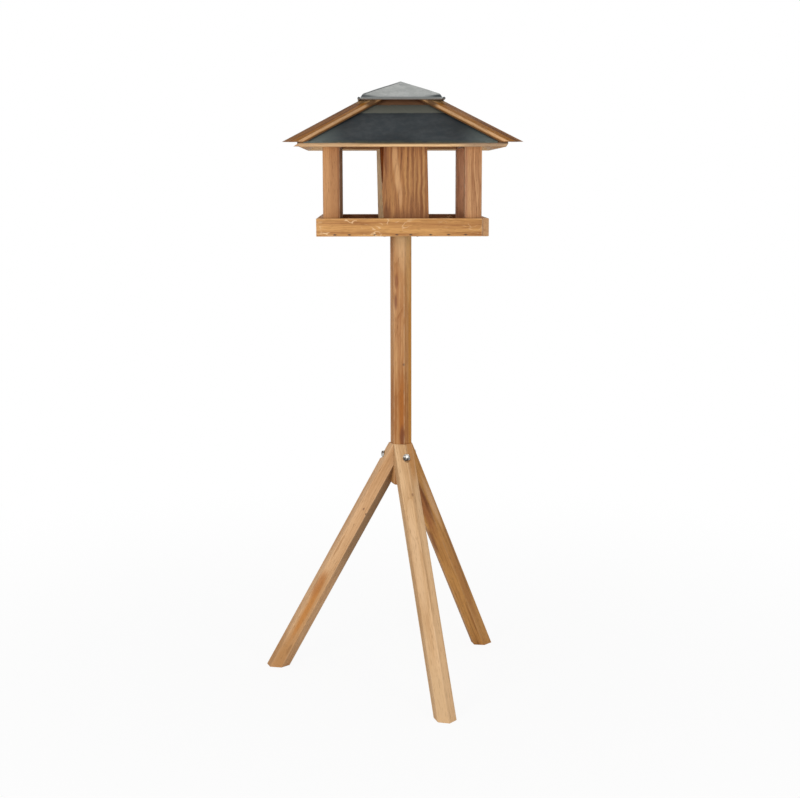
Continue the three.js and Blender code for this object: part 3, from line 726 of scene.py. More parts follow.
# %% Floor boards and brads
FLOOR_ARRIS = 0.0005
for index in range(1, 5):
    node = f"floor_board_{index}"
    board_size = size_of(node)
    floor_oak = oak(f"floor_oak_{index}", Bench(middle_of(node), (0, 1, 0), UP), tone(204, 156, 104),
                    tone(158, 108, 62), 6.3 + index, pith=(0.01 * index, 0.05),
                    halves=(board_size.y / 2, board_size.x / 2, board_size.z / 2))
    softened(node, FLOOR_ARRIS, floor_oak, "tray_oak")

iron = Finish("dark_brad_steel")
rust = iron.noise(iron.place(), (700, 700, 700))
brad_tone = iron.mix(iron.between(rust, 0.4, 0.65), tone(72, 66, 62), tone(104, 70, 48))
iron.bump(rust, 0.3, 0.0001)
BRAD_STEEL = iron.set(Base_Color=brad_tone, Metallic=0.7, Roughness=iron.between(rust, 0.3, 0.7, 0.45, 0.7))
BRAD_HEAD = 0.0013
# A small flat head on a short stem, which stands on Z = 0.
BRAD_PROFILE = ((BRAD_HEAD * 0.5, -0.004), (BRAD_HEAD * 0.5, -0.0001), (BRAD_HEAD * 0.9, 0.0),
                (BRAD_HEAD, 0.0001), (BRAD_HEAD * 0.8, 0.0002), (BRAD_HEAD * 0.4, 0.00026))
rim_reach = MIDDLE.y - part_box("tray_rim_front")[0].y
for side in ("front", "back"):
    for index, u in enumerate(BRAD_PLACES):
        brad = turned_piece(f"brad_{side}_{index + 1}", BRAD_PROFILE, BRAD_STEEL)
        stand_on(brad, on_side(side, u, rim_reach, BRAD_HEIGHT), SIDES[side][1])
        finish_piece(brad, "fixing_steel")
print("rim brads:", len(BRAD_PLACES) * 2)

# %% [markdown]
# ## Corner posts and top rails
# The posts are plain square oak with the grain upright; their fronts show long fine lines and dark pores.
# One finish would do for all four, but equal posts look printed, so each is cut from another part of the
# tree. The rails behind the eaves tie posts and panels together. They sit in shade, so plain oak is enough.

# %% Posts and rails
HOUSE_ARRIS = 0.0009
POST_TONES = {
    "front_left": (tone(192, 140, 90), tone(132, 80, 40)),
    "front_right": (tone(204, 154, 106), tone(150, 100, 60)),
    "back_right": (tone(194, 138, 100), tone(150, 98, 68)),
    "back_left": (tone(194, 142, 98), tone(148, 98, 62)),
}
# The left front post is darker on its right half and the right one on its left edge, and the back left
# post gets painted shade only on the two faces that look into the house.
POST_SHADES = {
    "front_left": (((0, -0.0075, 0.018), (0.5, 0.0165, 0.02), tone(156, 104, 60), 0.6),
                   ((0, -0.0175, 0.018), (0.5, 0.0065, 0.02), tone(126, 78, 42), 0.7)),
    "front_right": (((0, 0.018, 0.018), (0.3, 0.009, 0.01), tone(152, 102, 72), 0.75),),
    "back_left": (((0, 0, -0.022), (0.5, 0.06, 0.012), tone(108, 76, 50), 0.9),
                  ((0, 0.022, 0), (0.5, 0.012, 0.06), tone(108, 76, 50), 0.9)),
}
# Painted shade on the left front post's face towards the opening.
OPENING_SIDE_SHADE = (SIDES["front"][0], tone(108, 70, 44), 0.75)
post_size = size_of("corner_post_front_left")
for index, (corner, (pale, deep)) in enumerate(POST_TONES.items()):
    node = "corner_post_" + corner
    face = SIDES["front"][1] if corner.startswith("front") else SIDES["back"][1]
    post_oak = oak(f"post_oak_{corner}", Bench(middle_of(node), UP, face), pale, deep, 9.1 + index * 2.3,
                   ring=0.0034, pith=(0.05, 0.045), lean=(0.01, 0.025), bold=0.5,
                   patches=POST_SHADES.get(corner, ()),
                   side_shading=OPENING_SIDE_SHADE if corner == "front_left" else None,
                   halves=(post_size.z / 2, post_size.x / 2, post_size.y / 2))
    softened(node, HOUSE_ARRIS, post_oak, "house_oak")
for index, (side, (along, out)) in enumerate(SIDES.items()):
    node = "top_rail_" + side
    rail_oak = oak(f"rail_oak_{side}", Bench(middle_of(node), along, out), tone(196, 146, 98),
                   tone(150, 100, 60), 11.7 + index)
    softened(node, HOUSE_ARRIS, rail_oak, "house_oak")
print("posts", [round(v * 1000, 1) for v in post_size], "mm")

# %% [markdown]
# ## House panels
# Each panel is a short board whose edge still follows the tree: the front face stops at a straight line,
# while the wood behind it runs on under the bark side as a dark wane. A box can't show that, so we draw
# the board's outline at many heights and skin the stack. The two edges of the front face and the two of
# the back face are separate lines, a little unsteady, which gives the slanting dark strip on the left.
# That strip gets a rough bark finish of its own. The front panel's figure is what the eye lands on, so its
# stripe and its year lines are laid in one by one as patches that waver a little.

# %% Panel outlines
PANEL_THICK = 0.016
PANEL_ROWS = 24
PANEL_GAP = 0.0003
PANEL_WOBBLE = 0.0006
ROOF_PITCH = math.radians(30)
# For each side: the left and right edge at the foot and at the head, and the wane at each end's left edge.
PANEL_EDGES = {
    "front": ((-0.038, 0.056), (-0.0488, 0.0512), (0.0, 0.0112)),
    "right": ((-0.0445, 0.0505), (-0.0505, 0.0465), (0.004, 0.007)),
    "back": ((-0.0455, 0.0485), (-0.0455, 0.0525), (0.006, 0.003)),
    "left": ((-0.0505, 0.0465), (-0.0465, 0.0495), (0.003, 0.007)),
}
# Between the back corner and the front face, the wane bulges: shares of its width and of the thickness.
WANE_CURVE = ((0.25, 0.55), (0.7, 0.2))
WANE_MIDDLE = 0.45
WANE_SWELL = 0.8
panel_reach = MIDDLE.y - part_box("house_panel_front")[0].y
panel_foot, panel_head = (corner.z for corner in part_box("house_panel_front"))


def wane_at(side, share):
    """How far the wane cuts into the front face at this share of the panel's height."""
    wane_foot, wane_head = PANEL_EDGES[side][2]
    lift = max(0.0, (share - WANE_MIDDLE) / (1 - WANE_MIDDLE))
    return wane_foot * (1 - share) + wane_head * lift ** WANE_SWELL


def panel_rings(side, seed):
    (foot_left, foot_right), (head_left, head_right), _ = PANEL_EDGES[side]
    outer_head = panel_head - PANEL_THICK * math.tan(ROOF_PITCH)
    rings = []
    for row in range(PANEL_ROWS + 1):
        share = row / PANEL_ROWS
        wobble = noise.noise(Vector((share * 4, seed, 0))) * PANEL_WOBBLE
        left = foot_left + (head_left - foot_left) * share + wobble
        straight = foot_right + (head_right - foot_right) * share
        wane = wane_at(side, share) + abs(wobble)
        outline = [(left + wane, 0.0), (straight, 0.0), (straight, PANEL_THICK), (left, PANEL_THICK)]
        outline += [(left + wane * wide, PANEL_THICK * deep) for wide, deep in WANE_CURVE]
        ring = []
        for u, inwards in outline:
            top = outer_head + inwards * math.tan(ROOF_PITCH) - PANEL_GAP
            height = panel_foot + (top - panel_foot) * share
            ring.append(on_side(side, u, panel_reach - inwards, height))
        rings.append(ring)
    return rings


print("outlines in each panel:", PANEL_ROWS + 1)

# %% Bark side
bark = Finish("bark_side")
fibre = bark.noise(bark.place(), (500, 500, 30), roughness=0.6)
scar = bark.noise(bark.place(), (90, 90, 40))
bark_tone = bark.mix(bark.between(fibre, 0.35, 0.65), tone(84, 38, 10), tone(122, 62, 20))
bark_tone = bark.mix(bark.between(scar, 0.5, 0.7, 0.0, 0.6), bark_tone, tone(62, 34, 18))
bark.bump(bark.total(fibre, scar), 0.5, 0.0008)
BARK_SIDE = bark.set(Base_Color=bark_tone, Roughness=bark.between(scar, 0.3, 0.7, 0.7, 0.9),
                     Specular_IOR_Level=0.1)
print("bark:", len(bark.tree.nodes), "nodes")


# %% Panel figure
FIGURE_DEEP = 0.006
YEAR_WIDE = 0.0036
# A patch fades before its end, so a year line is laid half as long again as it looks.
YEAR_STRETCH = 1.5


def figure(up, across, half_up, half_across, colour, strength):
    """A patch on the front face of a panel."""
    return ((up, across, PANEL_THICK / 2), (half_up, half_across, FIGURE_DEEP), colour, strength)


# The front panel has a pale stripe that leans to the right, dark lines by the bark and painted shade at its
# foot.
front_figure = [
    figure(0.050, 0.0195, 0.042, 0.0080, tone(206, 158, 108), 0.75),
    figure(0.010, 0.0130, 0.042, 0.0075, tone(206, 158, 108), 0.8),
    figure(-0.028, 0.0075, 0.038, 0.0060, tone(198, 148, 100), 0.7),
    figure(0.050, 0.0377, 0.060, 0.0044, tone(108, 56, 14), 0.95),
    figure(0.045, 0.0350, 0.060, 0.0060, tone(140, 90, 50), 0.5),
    figure(-0.070, 0.0378, 0.040, 0.0075, tone(92, 44, 8), 0.75),
    figure(-0.085, 0.0000, 0.032, 0.2000, tone(114, 68, 26), 0.6),
]
# Each year line: its middle along the board and across it, half its length, and how strong it is.
dark_years = ((-0.04, 0.0011, 0.06, 0.40), (0, -0.0076, 0.20, 0.45), (0.045, -0.0186, 0.035, 0.45),
              (-0.055, -0.0186, 0.035, 0.5), (-0.03, -0.0273, 0.06, 0.55), (0, -0.0371, 0.20, 0.5),
              (-0.06, -0.0371, 0.05, 0.5), (-0.02, -0.0460, 0.10, 0.3))
pale_years = ((0.03, -0.0033, 0.06, 0.45), (0.015, -0.0127, 0.05, 0.4), (0.015, -0.0229, 0.045, 0.4),
              (0.01, -0.0317, 0.05, 0.35), (0.01, -0.0415, 0.08, 0.55), (-0.04, 0.0250, 0.05, 0.25))
for years, colour in ((dark_years, tone(120, 70, 26)), (pale_years, tone(196, 145, 86))):
    for up, across, half, strength in years:
        front_figure.append(figure(up, across, half * YEAR_STRETCH, YEAR_WIDE, colour, strength))
# The other panels have one pale stripe and one band of heartwood.
plain_figure = [
    figure(0.005, 0.0125, 0.13, 0.0095, tone(202, 152, 104), 0.6),
    figure(0, -0.018, 0.2, 0.009, tone(140, 84, 40), 0.6),
]
# Painted light: indoors, the back of each panel is painted pale.
INDOORS_LIGHT = ((0, 0, -PANEL_THICK / 2), (0.4, 0.2, FIGURE_DEEP), tone(255, 230, 186), 1.0)
print("front panel figure:", len(front_figure), "patches")

# %% House panels
# The outline's points run round the board; the last three faces of each row are the wane.
WANE_FACES = (3, 4, 5)
OUTLINE_POINTS = 6
WANE_FROM = 0.0012
PANEL_TONES = {
    "front": (tone(166, 113, 63), tone(106, 57, 25), 0.55),
    "right": (tone(190, 140, 90), tone(126, 78, 42), 0.65),
    "back": (tone(226, 184, 140), tone(180, 134, 92), 0.5),
    "left": (tone(190, 138, 88), tone(128, 80, 42), 0.65),
}
for index, (side, (_, out)) in enumerate(SIDES.items()):
    node = "house_panel_" + side
    pale, deep, bold = PANEL_TONES[side]
    patches = (*(front_figure if side == "front" else plain_figure), INDOORS_LIGHT)
    panel_oak = oak(f"panel_oak_{side}", Bench(middle_of(node), UP, out), pale, deep, 15.3 + index * 1.9,
                    ring=0.0046, pith=(0.03, 0.06), lean=(0.012, 0.045), bold=bold, patches=patches,
                    warp=0.01, lines=1.5, waver=0.0035)
    panel = ringed("panel_" + side, panel_rings(side, index + 0.5), panel_oak)
    panel.data.materials.append(BARK_SIDE)
    for row in range(PANEL_ROWS):
        if wane_at(side, (row + 0.5) / PANEL_ROWS) > WANE_FROM:
            for face in WANE_FACES:
                panel.data.polygons[row * OUTLINE_POINTS + face].material_index = 1
    soften = panel.modifiers.new("soft edges", "BEVEL")
    soften.width = HOUSE_ARRIS
    soften.segments = 2
    soften.limit_method = "ANGLE"
    soften.angle_limit = math.radians(40)
    finish_piece(panel, "house_oak", node)
print("panels", round((panel_head - panel_foot) * 1000), "mm high")

# %% [markdown]
# ## Roof boards and hip boards
# The roof boards meet under the hips and show as a pale, square-cut strip at the eave and as warm wood
# beside the slates. The flat boards over the hips are cut level with the eave. Their grain runs up the
# hip, so their bench leans with it. Patches, most of them thin and long along the edges, give the boards
# their colours: painted shade on the eave just under the slate, at the tops of the boards under the cap,
# along the foot of the hip boards' sides and on the hips just below the cap, and painted light on the hips
# under the cap. The boards' undersides are painted lighter as well.

# %% Roof boards
ROOF_ARRIS = 0.0008
SLATE_GAP = 0.0003
UNDER_CAP_SHADE_REACH = 0.052
UNDER_CAP_SHADE_HEIGHT = 1.3005
# Across its cut edge, the eave runs from a painted shadow under the slate to a pale middle and a browner
# foot: how far down the cut each line lies, its half sizes, its colour and strength.
EAVE_LINES = (
    (0.0, (2.0, 0.0040, 0.0038), tone(104, 86, 58), 0.9),
    (0.0056, (2.0, 0.0030, 0.0034), tone(238, 198, 144), 0.7),
    (0.0092, (2.0, 0.0030, 0.0024), tone(170, 122, 78), 0.6),
)
eave_half = MIDDLE.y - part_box("roof_board_front")[0].y
# The frame's slates lie a little off the boards.
eave_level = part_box("slate_front")[0].z - SLATE_GAP * math.cos(ROOF_PITCH)


def roof_face(out):
    """The way the slope on this side looks."""
    return out * math.sin(ROOF_PITCH) + UP * math.cos(ROOF_PITCH)


for index, (side, (along, out)) in enumerate(SIDES.items()):
    node = "roof_board_" + side
    middle = middle_of(node)
    bench = Bench(middle, along, roof_face(out))
    # Painted shade: the top of each board, under the cap, is painted dark and red.
    uphill = (on_side(side, 0, UNDER_CAP_SHADE_REACH, UNDER_CAP_SHADE_HEIGHT) - middle).dot(bench.across)
    under_cap_shade = ((0, uphill, 0), (0.12, 0.045, 0.03), tone(178, 124, 92), 0.85)
    eave = on_side(side, 0, eave_half, eave_level) - middle
    down, face = eave.dot(bench.across), eave.dot(bench.face)
    eave_lines = [((0, down, face - depth), *line) for depth, *line in EAVE_LINES]
    # The eave's right end is greyer and its left end duller, and the underside is painted pale as painted
    # light.
    grey_end = ((0.17, down, 0), (0.07, 0.014, 0.05), tone(150, 122, 98), 0.75)
    dull_end = ((-0.165, down, 0), (0.11, 0.014, 0.05), tone(192, 154, 114), 0.7)
    roof_oak = oak(f"roof_oak_{side}", bench, tone(218, 178, 134), tone(170, 122, 76), 21.7 + index * 1.1,
                   pith=(0.06, 0.03), bold=0.5, patches=(under_cap_shade, *eave_lines, grey_end, dull_end),
                   side_shading=(-roof_face(out), tone(248, 208, 154), 0.7))
    softened(node, ROOF_ARRIS, roof_oak, "roof_oak")
print("eave", round(eave_half * 2000), "mm wide")

# %% Hip boards
HIP_PITCH = math.atan(math.tan(ROOF_PITCH) / math.sqrt(2))
HIP_HALF = 0.0225
HIP_THICK = 0.010
HIP_ARRIS = 0.0006
HIP_EDGE = HIP_HALF + 0.0004
# Along both edges: how far along the hip and how high a patch lies, its half sizes, colour and strength.
# The first three are the grey arris, the pale side and painted shade along the side's foot. The last is
# the cap's painted shadow, just below it.
HIP_EDGE_PATCHES = (
    (0.2, HIP_THICK, (3.0, 0.0024, 0.0012), tone(156, 124, 92), 0.6),
    (0.2, HIP_THICK - 0.0028, (3.0, 0.0014, 0.0046), tone(214, 168, 122), 1.0),
    (0.2, 0.0010, (3.0, 0.0014, 0.0036), tone(112, 78, 50), 1.0),
    (0.118, HIP_THICK, (0.025, 0.008, 0.014), tone(96, 68, 44), 0.9),
)
# The hips meet in the middle, at the height where the roof boards' slopes would meet.
apex = MIDDLE + UP * (eave_level + eave_half * math.tan(ROOF_PITCH))
# Painted light: under the cap the hip boards are painted pale.
hip_patches = [((0.1, 0, HIP_THICK), (0.034, 0.06, 0.012), tone(255, 208, 150), 0.95)]
for edge in (-HIP_EDGE, HIP_EDGE):
    hip_patches += [((down, edge, rise), *patch) for down, rise, *patch in HIP_EDGE_PATCHES]
for index, (corner, outwards) in enumerate(CORNERS.items()):
    grain = outwards * math.cos(HIP_PITCH) - UP * math.sin(HIP_PITCH)
    face = outwards * math.sin(HIP_PITCH) + UP * math.cos(HIP_PITCH)
    hip_oak = oak(f"hip_oak_{corner}", Bench(apex, grain, face), tone(164, 105, 34), tone(104, 59, 12),
                  25.1 + index * 1.7, pith=(0.02, 0.04), bold=0.6, patches=hip_patches, sheen=0.1)
    softened("hip_board_" + corner, HIP_ARRIS, hip_oak, "roof_oak")
block_oak = oak("block_oak", Bench(middle_of("cap_block"), (1, 0, 0), UP), tone(190, 140, 92),
                tone(146, 98, 58), 31.3)
softened("cap_block", ROOF_ARRIS, block_oak, "roof_oak")
print("hips meet at", round(apex.z * 1000), "mm")

# %% [markdown]
# ## Slates
# Natural slate is split, not sawn: its face has shallow steps and ripples, and its edges are dressed with
# a blade, which flakes them into small bites. We lay out a fine grid over the slate's outline, press it
# down with layered noise, pull the lower edge in at random bites, and close it with a flat back. The
# relief only ever goes inwards, so the slate stays inside its place in the frame. The finish mixes slow
# bedding, a mottle and fine grit, with paler ends, a paler head under the cap and a pale dressed edge.

# %% Riven slate finish
PALE_ENDS = (0.11, 0.19)
PALE_HEAD_LINE = (1.2695, 1.2715)
PALE_HEAD_WAVER = 0.004

riven = Finish("riven_slate")
where = riven.place()
bedding = riven.noise(where, (9, 9, 30), detail=5, roughness=0.55)
mottle = riven.noise(where, (60, 60, 60), (3, 1, 2), detail=4, roughness=0.6)
grit = riven.noise(where, (1400, 1400, 1400), detail=2)
slate_tone = riven.mix(riven.between(bedding, 0.36, 0.66), tone(38, 43, 46), tone(54, 59, 62))
slate_tone = riven.mix(riven.between(mottle, 0.5, 0.75, 0.0, 0.5), slate_tone, tone(48, 58, 63))
# Each slate turns paler towards its two ends along the eave.
from_middle = riven.split(riven.vector("ABSOLUTE", riven.vector("SUBTRACT", where, tuple(MIDDLE))))
along_eave = riven.math("MINIMUM", from_middle[0], from_middle[1])
slate_tone = riven.mix(riven.between(along_eave, *PALE_ENDS, 0.0, 0.9), slate_tone, tone(106, 116, 114))
# The head of each slate, under the cap, is paler down to an uneven line.
uneven = riven.times(riven.math("SUBTRACT", mottle, 0.5), PALE_HEAD_WAVER)
pale_head = riven.between(riven.total(riven.split(where)[2], uneven), *PALE_HEAD_LINE, 0.0, 0.62)
slate_tone = riven.mix(pale_head, slate_tone, tone(116, 116, 104))
edge_share = riven.times(riven.attribute("dressed"), riven.between(mottle, 0.3, 0.6, 0.15, 0.6))
slate_tone = riven.mix(edge_share, slate_tone, tone(72, 74, 60))
relief = riven.total(riven.times(bedding, 0.6), riven.times(mottle, 0.3), riven.times(grit, 0.12))
riven.bump(relief, 0.5, 0.0012)
RIVEN_SLATE = riven.set(Base_Color=slate_tone, Roughness=riven.between(mottle, 0.3, 0.7, 0.46, 0.66),
                        Specular_IOR_Level=0.14)
print("riven slate:", len(riven.tree.nodes), "nodes")

# %% Slate shape
SLATE_THICK = 0.0045
SLATE_LIFT = 0.00025
SLATE_LENGTH = 0.158
SLATE_COLUMNS = 110
SLATE_ROWS = 44
SLATE_TURN = math.radians(38)
# The blade's work reaches this far up from the lower edge, and its pale edge this far.
DRESSED_LENGTH = 0.012
DRESSED_EDGE = 0.004
DRESSED_DEPTH = 0.0009
BITE_LEAST = 0.0004
BITE_SLOW = 0.0012
BITE_QUICK = 0.0035
# The blade bites deeper into the top than into the back.
BITE_TOP = 1.6
BITE_BACK = 0.7
RIPPLE_DEPTH = 0.00045
STEP_DEPTH = 0.0004
# Where the left and right lower corners lie, as a shift from their proper place along the eave.
SLATE_SHIFTS = {"front": (-0.0035, -0.0060), "right": (0.0005, -0.001), "back": (0.001, 0.0),
                "left": (0.0, -0.0015)}
slate_low, slate_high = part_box("slate_front")
slate_foot_half = (slate_high.x - slate_low.x) / 2
slate_foot_level = slate_low.z - SLATE_LIFT * math.cos(ROOF_PITCH)
# The rows lie closer together near the lower edge, where the bites are.
row_lengths = [SLATE_LENGTH * (row / SLATE_ROWS) ** 1.15 for row in range(SLATE_ROWS + 1)]


def slate_bite(u, seed):
    """How far the dressing blade bit into the lower edge here."""
    slow = noise.noise(Vector((u * 22, seed, 0)))
    quick = noise.noise(Vector((u * 95, seed, 4)))
    return BITE_LEAST + max(0.0, slow) * BITE_SLOW + max(0.0, quick) ** 2 * BITE_QUICK


def slate_relief(u, v, seed):
    """Steps and ripples of the split face, as a depth below its highest level."""
    ripple = noise.fractal(Vector((u * 16 + seed, v * 26, seed)), 1.0, 2.0, 4) * 0.5 + 0.5
    step = noise.noise(Vector((u * 7, v * 15 + seed, 2.5)))
    return RIPPLE_DEPTH * max(0.0, min(1.0, ripple)) + (STEP_DEPTH if step > 0.12 else 0.0)


def slate_spot(side, seed, v, share, top):
    """One point of the slate: v up the slope, at a share of its width, on the top or the back."""
    along, out = SIDES[side]
    up_slope = -out * math.cos(ROOF_PITCH) + UP * math.sin(ROOF_PITCH)
    half = slate_foot_half - v * math.cos(ROOF_PITCH)
    near = max(0.0, 1 - v / SLATE_LENGTH)
    left, right = (edge * half + shift * near for edge, shift in zip((-1, 1), SLATE_SHIFTS[side]))
    u = left + (right - left) * share
    near_foot = max(0.0, 1 - v / DRESSED_LENGTH)
    v_here = v + slate_bite(u, seed) * near_foot ** 2 * (BITE_TOP if top else BITE_BACK)
    depth = slate_relief(u, v, seed) + DRESSED_DEPTH * near_foot ** 3
    height = SLATE_LIFT + (SLATE_THICK - depth if top else 0.0)
    foot = on_side(side, 0, eave_half, slate_foot_level)
    return foot + along * u + up_slope * v_here + roof_face(out) * height


# %% Slates
def slate(side, seed):
    work = bmesh.new()
    dressed = work.verts.layers.float.new("dressed")
    faces = []
    for top in (True, False):
        rows = []
        for v in row_lengths:
            line = []
            for column in range(SLATE_COLUMNS + 1):
                spot = work.verts.new(slate_spot(side, seed, v, column / SLATE_COLUMNS, top))
                spot[dressed] = max(0.0, 1 - v / DRESSED_EDGE) if top else 1.0
                line.append(spot)
            rows.append(line)
        faces.append(rows)
    upper, lower = faces
    # Two lines of points at a time are joined: row to row on both faces, then face to face round the rim.
    pairs = [pair for rows in faces for pair in zip(rows, rows[1:])]
    pairs += [(upper[end], lower[end]) for end in (0, -1)]
    pairs += [([line[end] for line in upper], [line[end] for line in lower]) for end in (0, -1)]
    for one, other in pairs:
        for i in range(len(one) - 1):
            work.faces.new((one[i], one[i + 1], other[i + 1], other[i]))
    piece = piece_from("riven_slate_" + side, work, RIVEN_SLATE, SLATE_TURN)
    return finish_piece(piece, "slate", "slate_" + side)


for index, side in enumerate(SIDES):
    slate(side, 1.7 + index * 5.3)
print("slates", round(slate_foot_half * 2000), "mm along the eave")

# %% [markdown]
# ## The folded cap
# The cap is one sheet folded to a low pyramid, with the free edge of each side rolled into a bead whose
# ends are pinched shut, and a small square left out at each corner. We follow one side from the tip to
# its edge, row by row, then on round the bead, and repeat it four times. The fold lines are eased by a
# rounded maximum of the two distances. Just before the bead the sheet turns down into a valley, sharply
# in the middle of a side and in a longer, softer curve at its corners. Each point carries a share of dirt
# and painted shade, and the finish reads that to dull the clouded metal: dark with dirt and painted shade
# in the valley's corners and on the roll's upper half, with a dark line along the left fold of each side,
# and browner with painted light on the roll's lower half. A thickness is added at the end.

# %% Cap measures
cap_low, cap_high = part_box("cap_sheet")
BEAD_RADIUS = 0.0030
BEAD_SAG = 0.0006
BEAD_GAP = 0.0002
CAP_TAB_HALF = 0.0868
# The sheet falls this much for each metre outwards, along the middle of a side and along a fold.
MIDDLE_RISE = 0.434
HIP_RISE = 0.372
FOLD_EASE = 0.003
SHEET_SINK = 0.0002
DENT_DEPTH = 0.0004
# Where the sheet begins to turn down, and how suddenly, in the middle of a side and at its corners.
MIDDLE_KINK = 0.0835
MIDDLE_TURN = 1.4
CORNER_KINK = 0.0775
CORNER_TURN = 3.0
VALLEY_REACH = 0.0874
# How high the valley lies above the bead's middle, in bead radii, and how much it drops at the corners.
VALLEY_LEVEL = 0.8
VALLEY_DROP = 0.95
SHEET_THICK = 0.0007
cap_tip = cap_high.z
cap_reach = (cap_high.x - cap_low.x) / 2
bead_reach = cap_reach - BEAD_RADIUS - BEAD_GAP
bead_middle = cap_low.z + BEAD_RADIUS - BEAD_SAG
print("bead at", round(bead_middle * 1000, 1), "mm, reach", round(bead_reach * 1000, 1), "mm")

# %% Weathered sheet finish
sheet = Finish("weathered_sheet")
where = sheet.place()
cloud = sheet.noise(where, (38, 38, 38), detail=4, roughness=0.6)
spangle = sheet.noise(where, (240, 240, 240), detail=2)
brushed = sheet.noise(where, (40, 900, 900), detail=2)
sheet_tone = sheet.mix(sheet.between(cloud, 0.35, 0.65), tone(161, 164, 161), tone(186, 188, 185))
sheet_tone = sheet.mix(sheet.between(spangle, 0.45, 0.7, 0.0, 0.3), sheet_tone, tone(146, 149, 147))
# Dirt with painted shade is blue-black in the valley and on the bead's upper half, and painted light
# makes the bead's lower half browner.
dirt_and_shade = sheet.attribute("dirt_and_shade")
up_the_bead = sheet.between(sheet.split(where)[2], bead_middle - BEAD_RADIUS, bead_middle)
dirt_and_shading_tone = sheet.mix(up_the_bead, tone(146, 122, 98), tone(52, 58, 62))
dirt_and_shading = sheet.times(dirt_and_shade, sheet.between(cloud, 0.3, 0.6, 0.75, 1.0))
sheet_tone = sheet.mix(dirt_and_shading, sheet_tone, dirt_and_shading_tone)
sheet.bump(sheet.total(sheet.times(spangle, 0.4), sheet.times(brushed, 0.3)), 0.25, 0.0002)
# Dirt and painted shade take the metal's shine away.
clean_metal = sheet.between(dirt_and_shade, 0.0, 1.0, 0.55, 0.05)
dull = sheet.total(sheet.between(cloud, 0.3, 0.7, 0.42, 0.6), sheet.times(dirt_and_shade, 0.25))
WEATHERED_SHEET = sheet.set(Base_Color=sheet_tone, Metallic=clean_metal, Roughness=dull,
                            Specular_IOR_Level=0.3)
print("weathered sheet:", len(sheet.tree.nodes), "nodes")


# %% Cap shape
def within(value):
    """The value, kept between 0 and 1."""
    return min(1.0, max(0.0, value))


def eased_max(a, b):
    return (a + b + math.sqrt((a - b) ** 2 + FOLD_EASE ** 2)) / 2


def corner_share(u):
    """0 along the middle of a side, rising to 1 towards its corners."""
    share = within((abs(u) / CAP_TAB_HALF - 0.5) / 0.35)
    return share * share * (3 - 2 * share)


def turned_down(u, reach):
    """0 on the flat of the sheet, rising to 1 in the valley behind the bead."""
    middle = within((reach - MIDDLE_KINK) / (VALLEY_REACH - MIDDLE_KINK)) ** MIDDLE_TURN
    corner = within((reach - CORNER_KINK) / (VALLEY_REACH - CORNER_KINK)) ** CORNER_TURN
    return middle + (corner - middle) * corner_share(u)


def cap_height(u, reach):
    """The sheet's upper face here: stiff folds, a slight sag between them and a turned-down edge."""
    away = eased_max(abs(u), reach) - FOLD_EASE / 2
    near_fold = min(1.0, abs(u) / max(reach, 0.0001)) ** 3
    level = cap_tip - away * (MIDDLE_RISE + (HIP_RISE - MIDDLE_RISE) * near_fold)
    dent = noise.noise(Vector((u * 28, reach * 40, 1.5))) * DENT_DEPTH
    level += dent * min(1.0, reach / 0.03) - SHEET_SINK
    valley = bead_middle + BEAD_RADIUS * (VALLEY_LEVEL - VALLEY_DROP * corner_share(u))
    return level + (valley - level) * turned_down(u, reach)


# %% Dirt, painted shade and painted light on the cap
FOLD_LINE_AWAY = 0.0034
FOLD_LINE_WIDTH = 0.0018
PINCH = 0.0035
ROLL_DIRT_AND_SHADE = 0.62
PINCH_DIRT_AND_SHADE = {"front": 0.5, "back": 0.5, "left": 0.85, "right": 0.85}
CURL_STEPS_BEHIND = 4


def sheet_dirt_and_shade(u, reach):
    """Dirt and painted shade in the valley's corners, and a dark line along the left fold of each side."""
    valley = min(1.0, max(0.0, turned_down(u, reach) - 0.04) / 0.22) * corner_share(u)
    fold_line = math.exp(-((reach - abs(u) - FOLD_LINE_AWAY) / FOLD_LINE_WIDTH) ** 2) if u < 0 else 0.0
    return max(valley, fold_line * min(1.0, reach / 0.02))


def roll_dirt_and_shade(side, u, step):
    """Dirt with painted shade and light on the roll: more at its ends, and most behind it near the corners.
    """
    behind = corner_share(u) if step < CURL_STEPS_BEHIND else 0.0
    return max(behind, PINCH_DIRT_AND_SHADE[side] if abs(u) > CAP_TAB_HALF - PINCH else ROLL_DIRT_AND_SHADE)


# %% Cap
TURN_ROWS = 16
CAP_ROWS = 36
CAP_COLUMNS = 36
CURL_STEPS = 14
CURL_FROM = math.radians(150)
CURL_TURN = math.radians(330)
CAP_WELD = 0.00001
CAP_SMOOTH_TURN = math.radians(40)
cap_work = bmesh.new()
dirt_and_shade_layer = cap_work.verts.layers.float.new("dirt_and_shade")


def cap_line(side, half, reach, height_at, grime_at):
    """A line of points across a side, closer together towards its corners."""
    line = []
    for column in range(CAP_COLUMNS + 1):
        u = half * math.sin((2 * column / CAP_COLUMNS - 1) * math.pi / 2)
        spot = cap_work.verts.new(on_side(side, u, reach, height_at(u)))
        spot[dirt_and_shade_layer] = grime_at(u)
        line.append(spot)
    return line


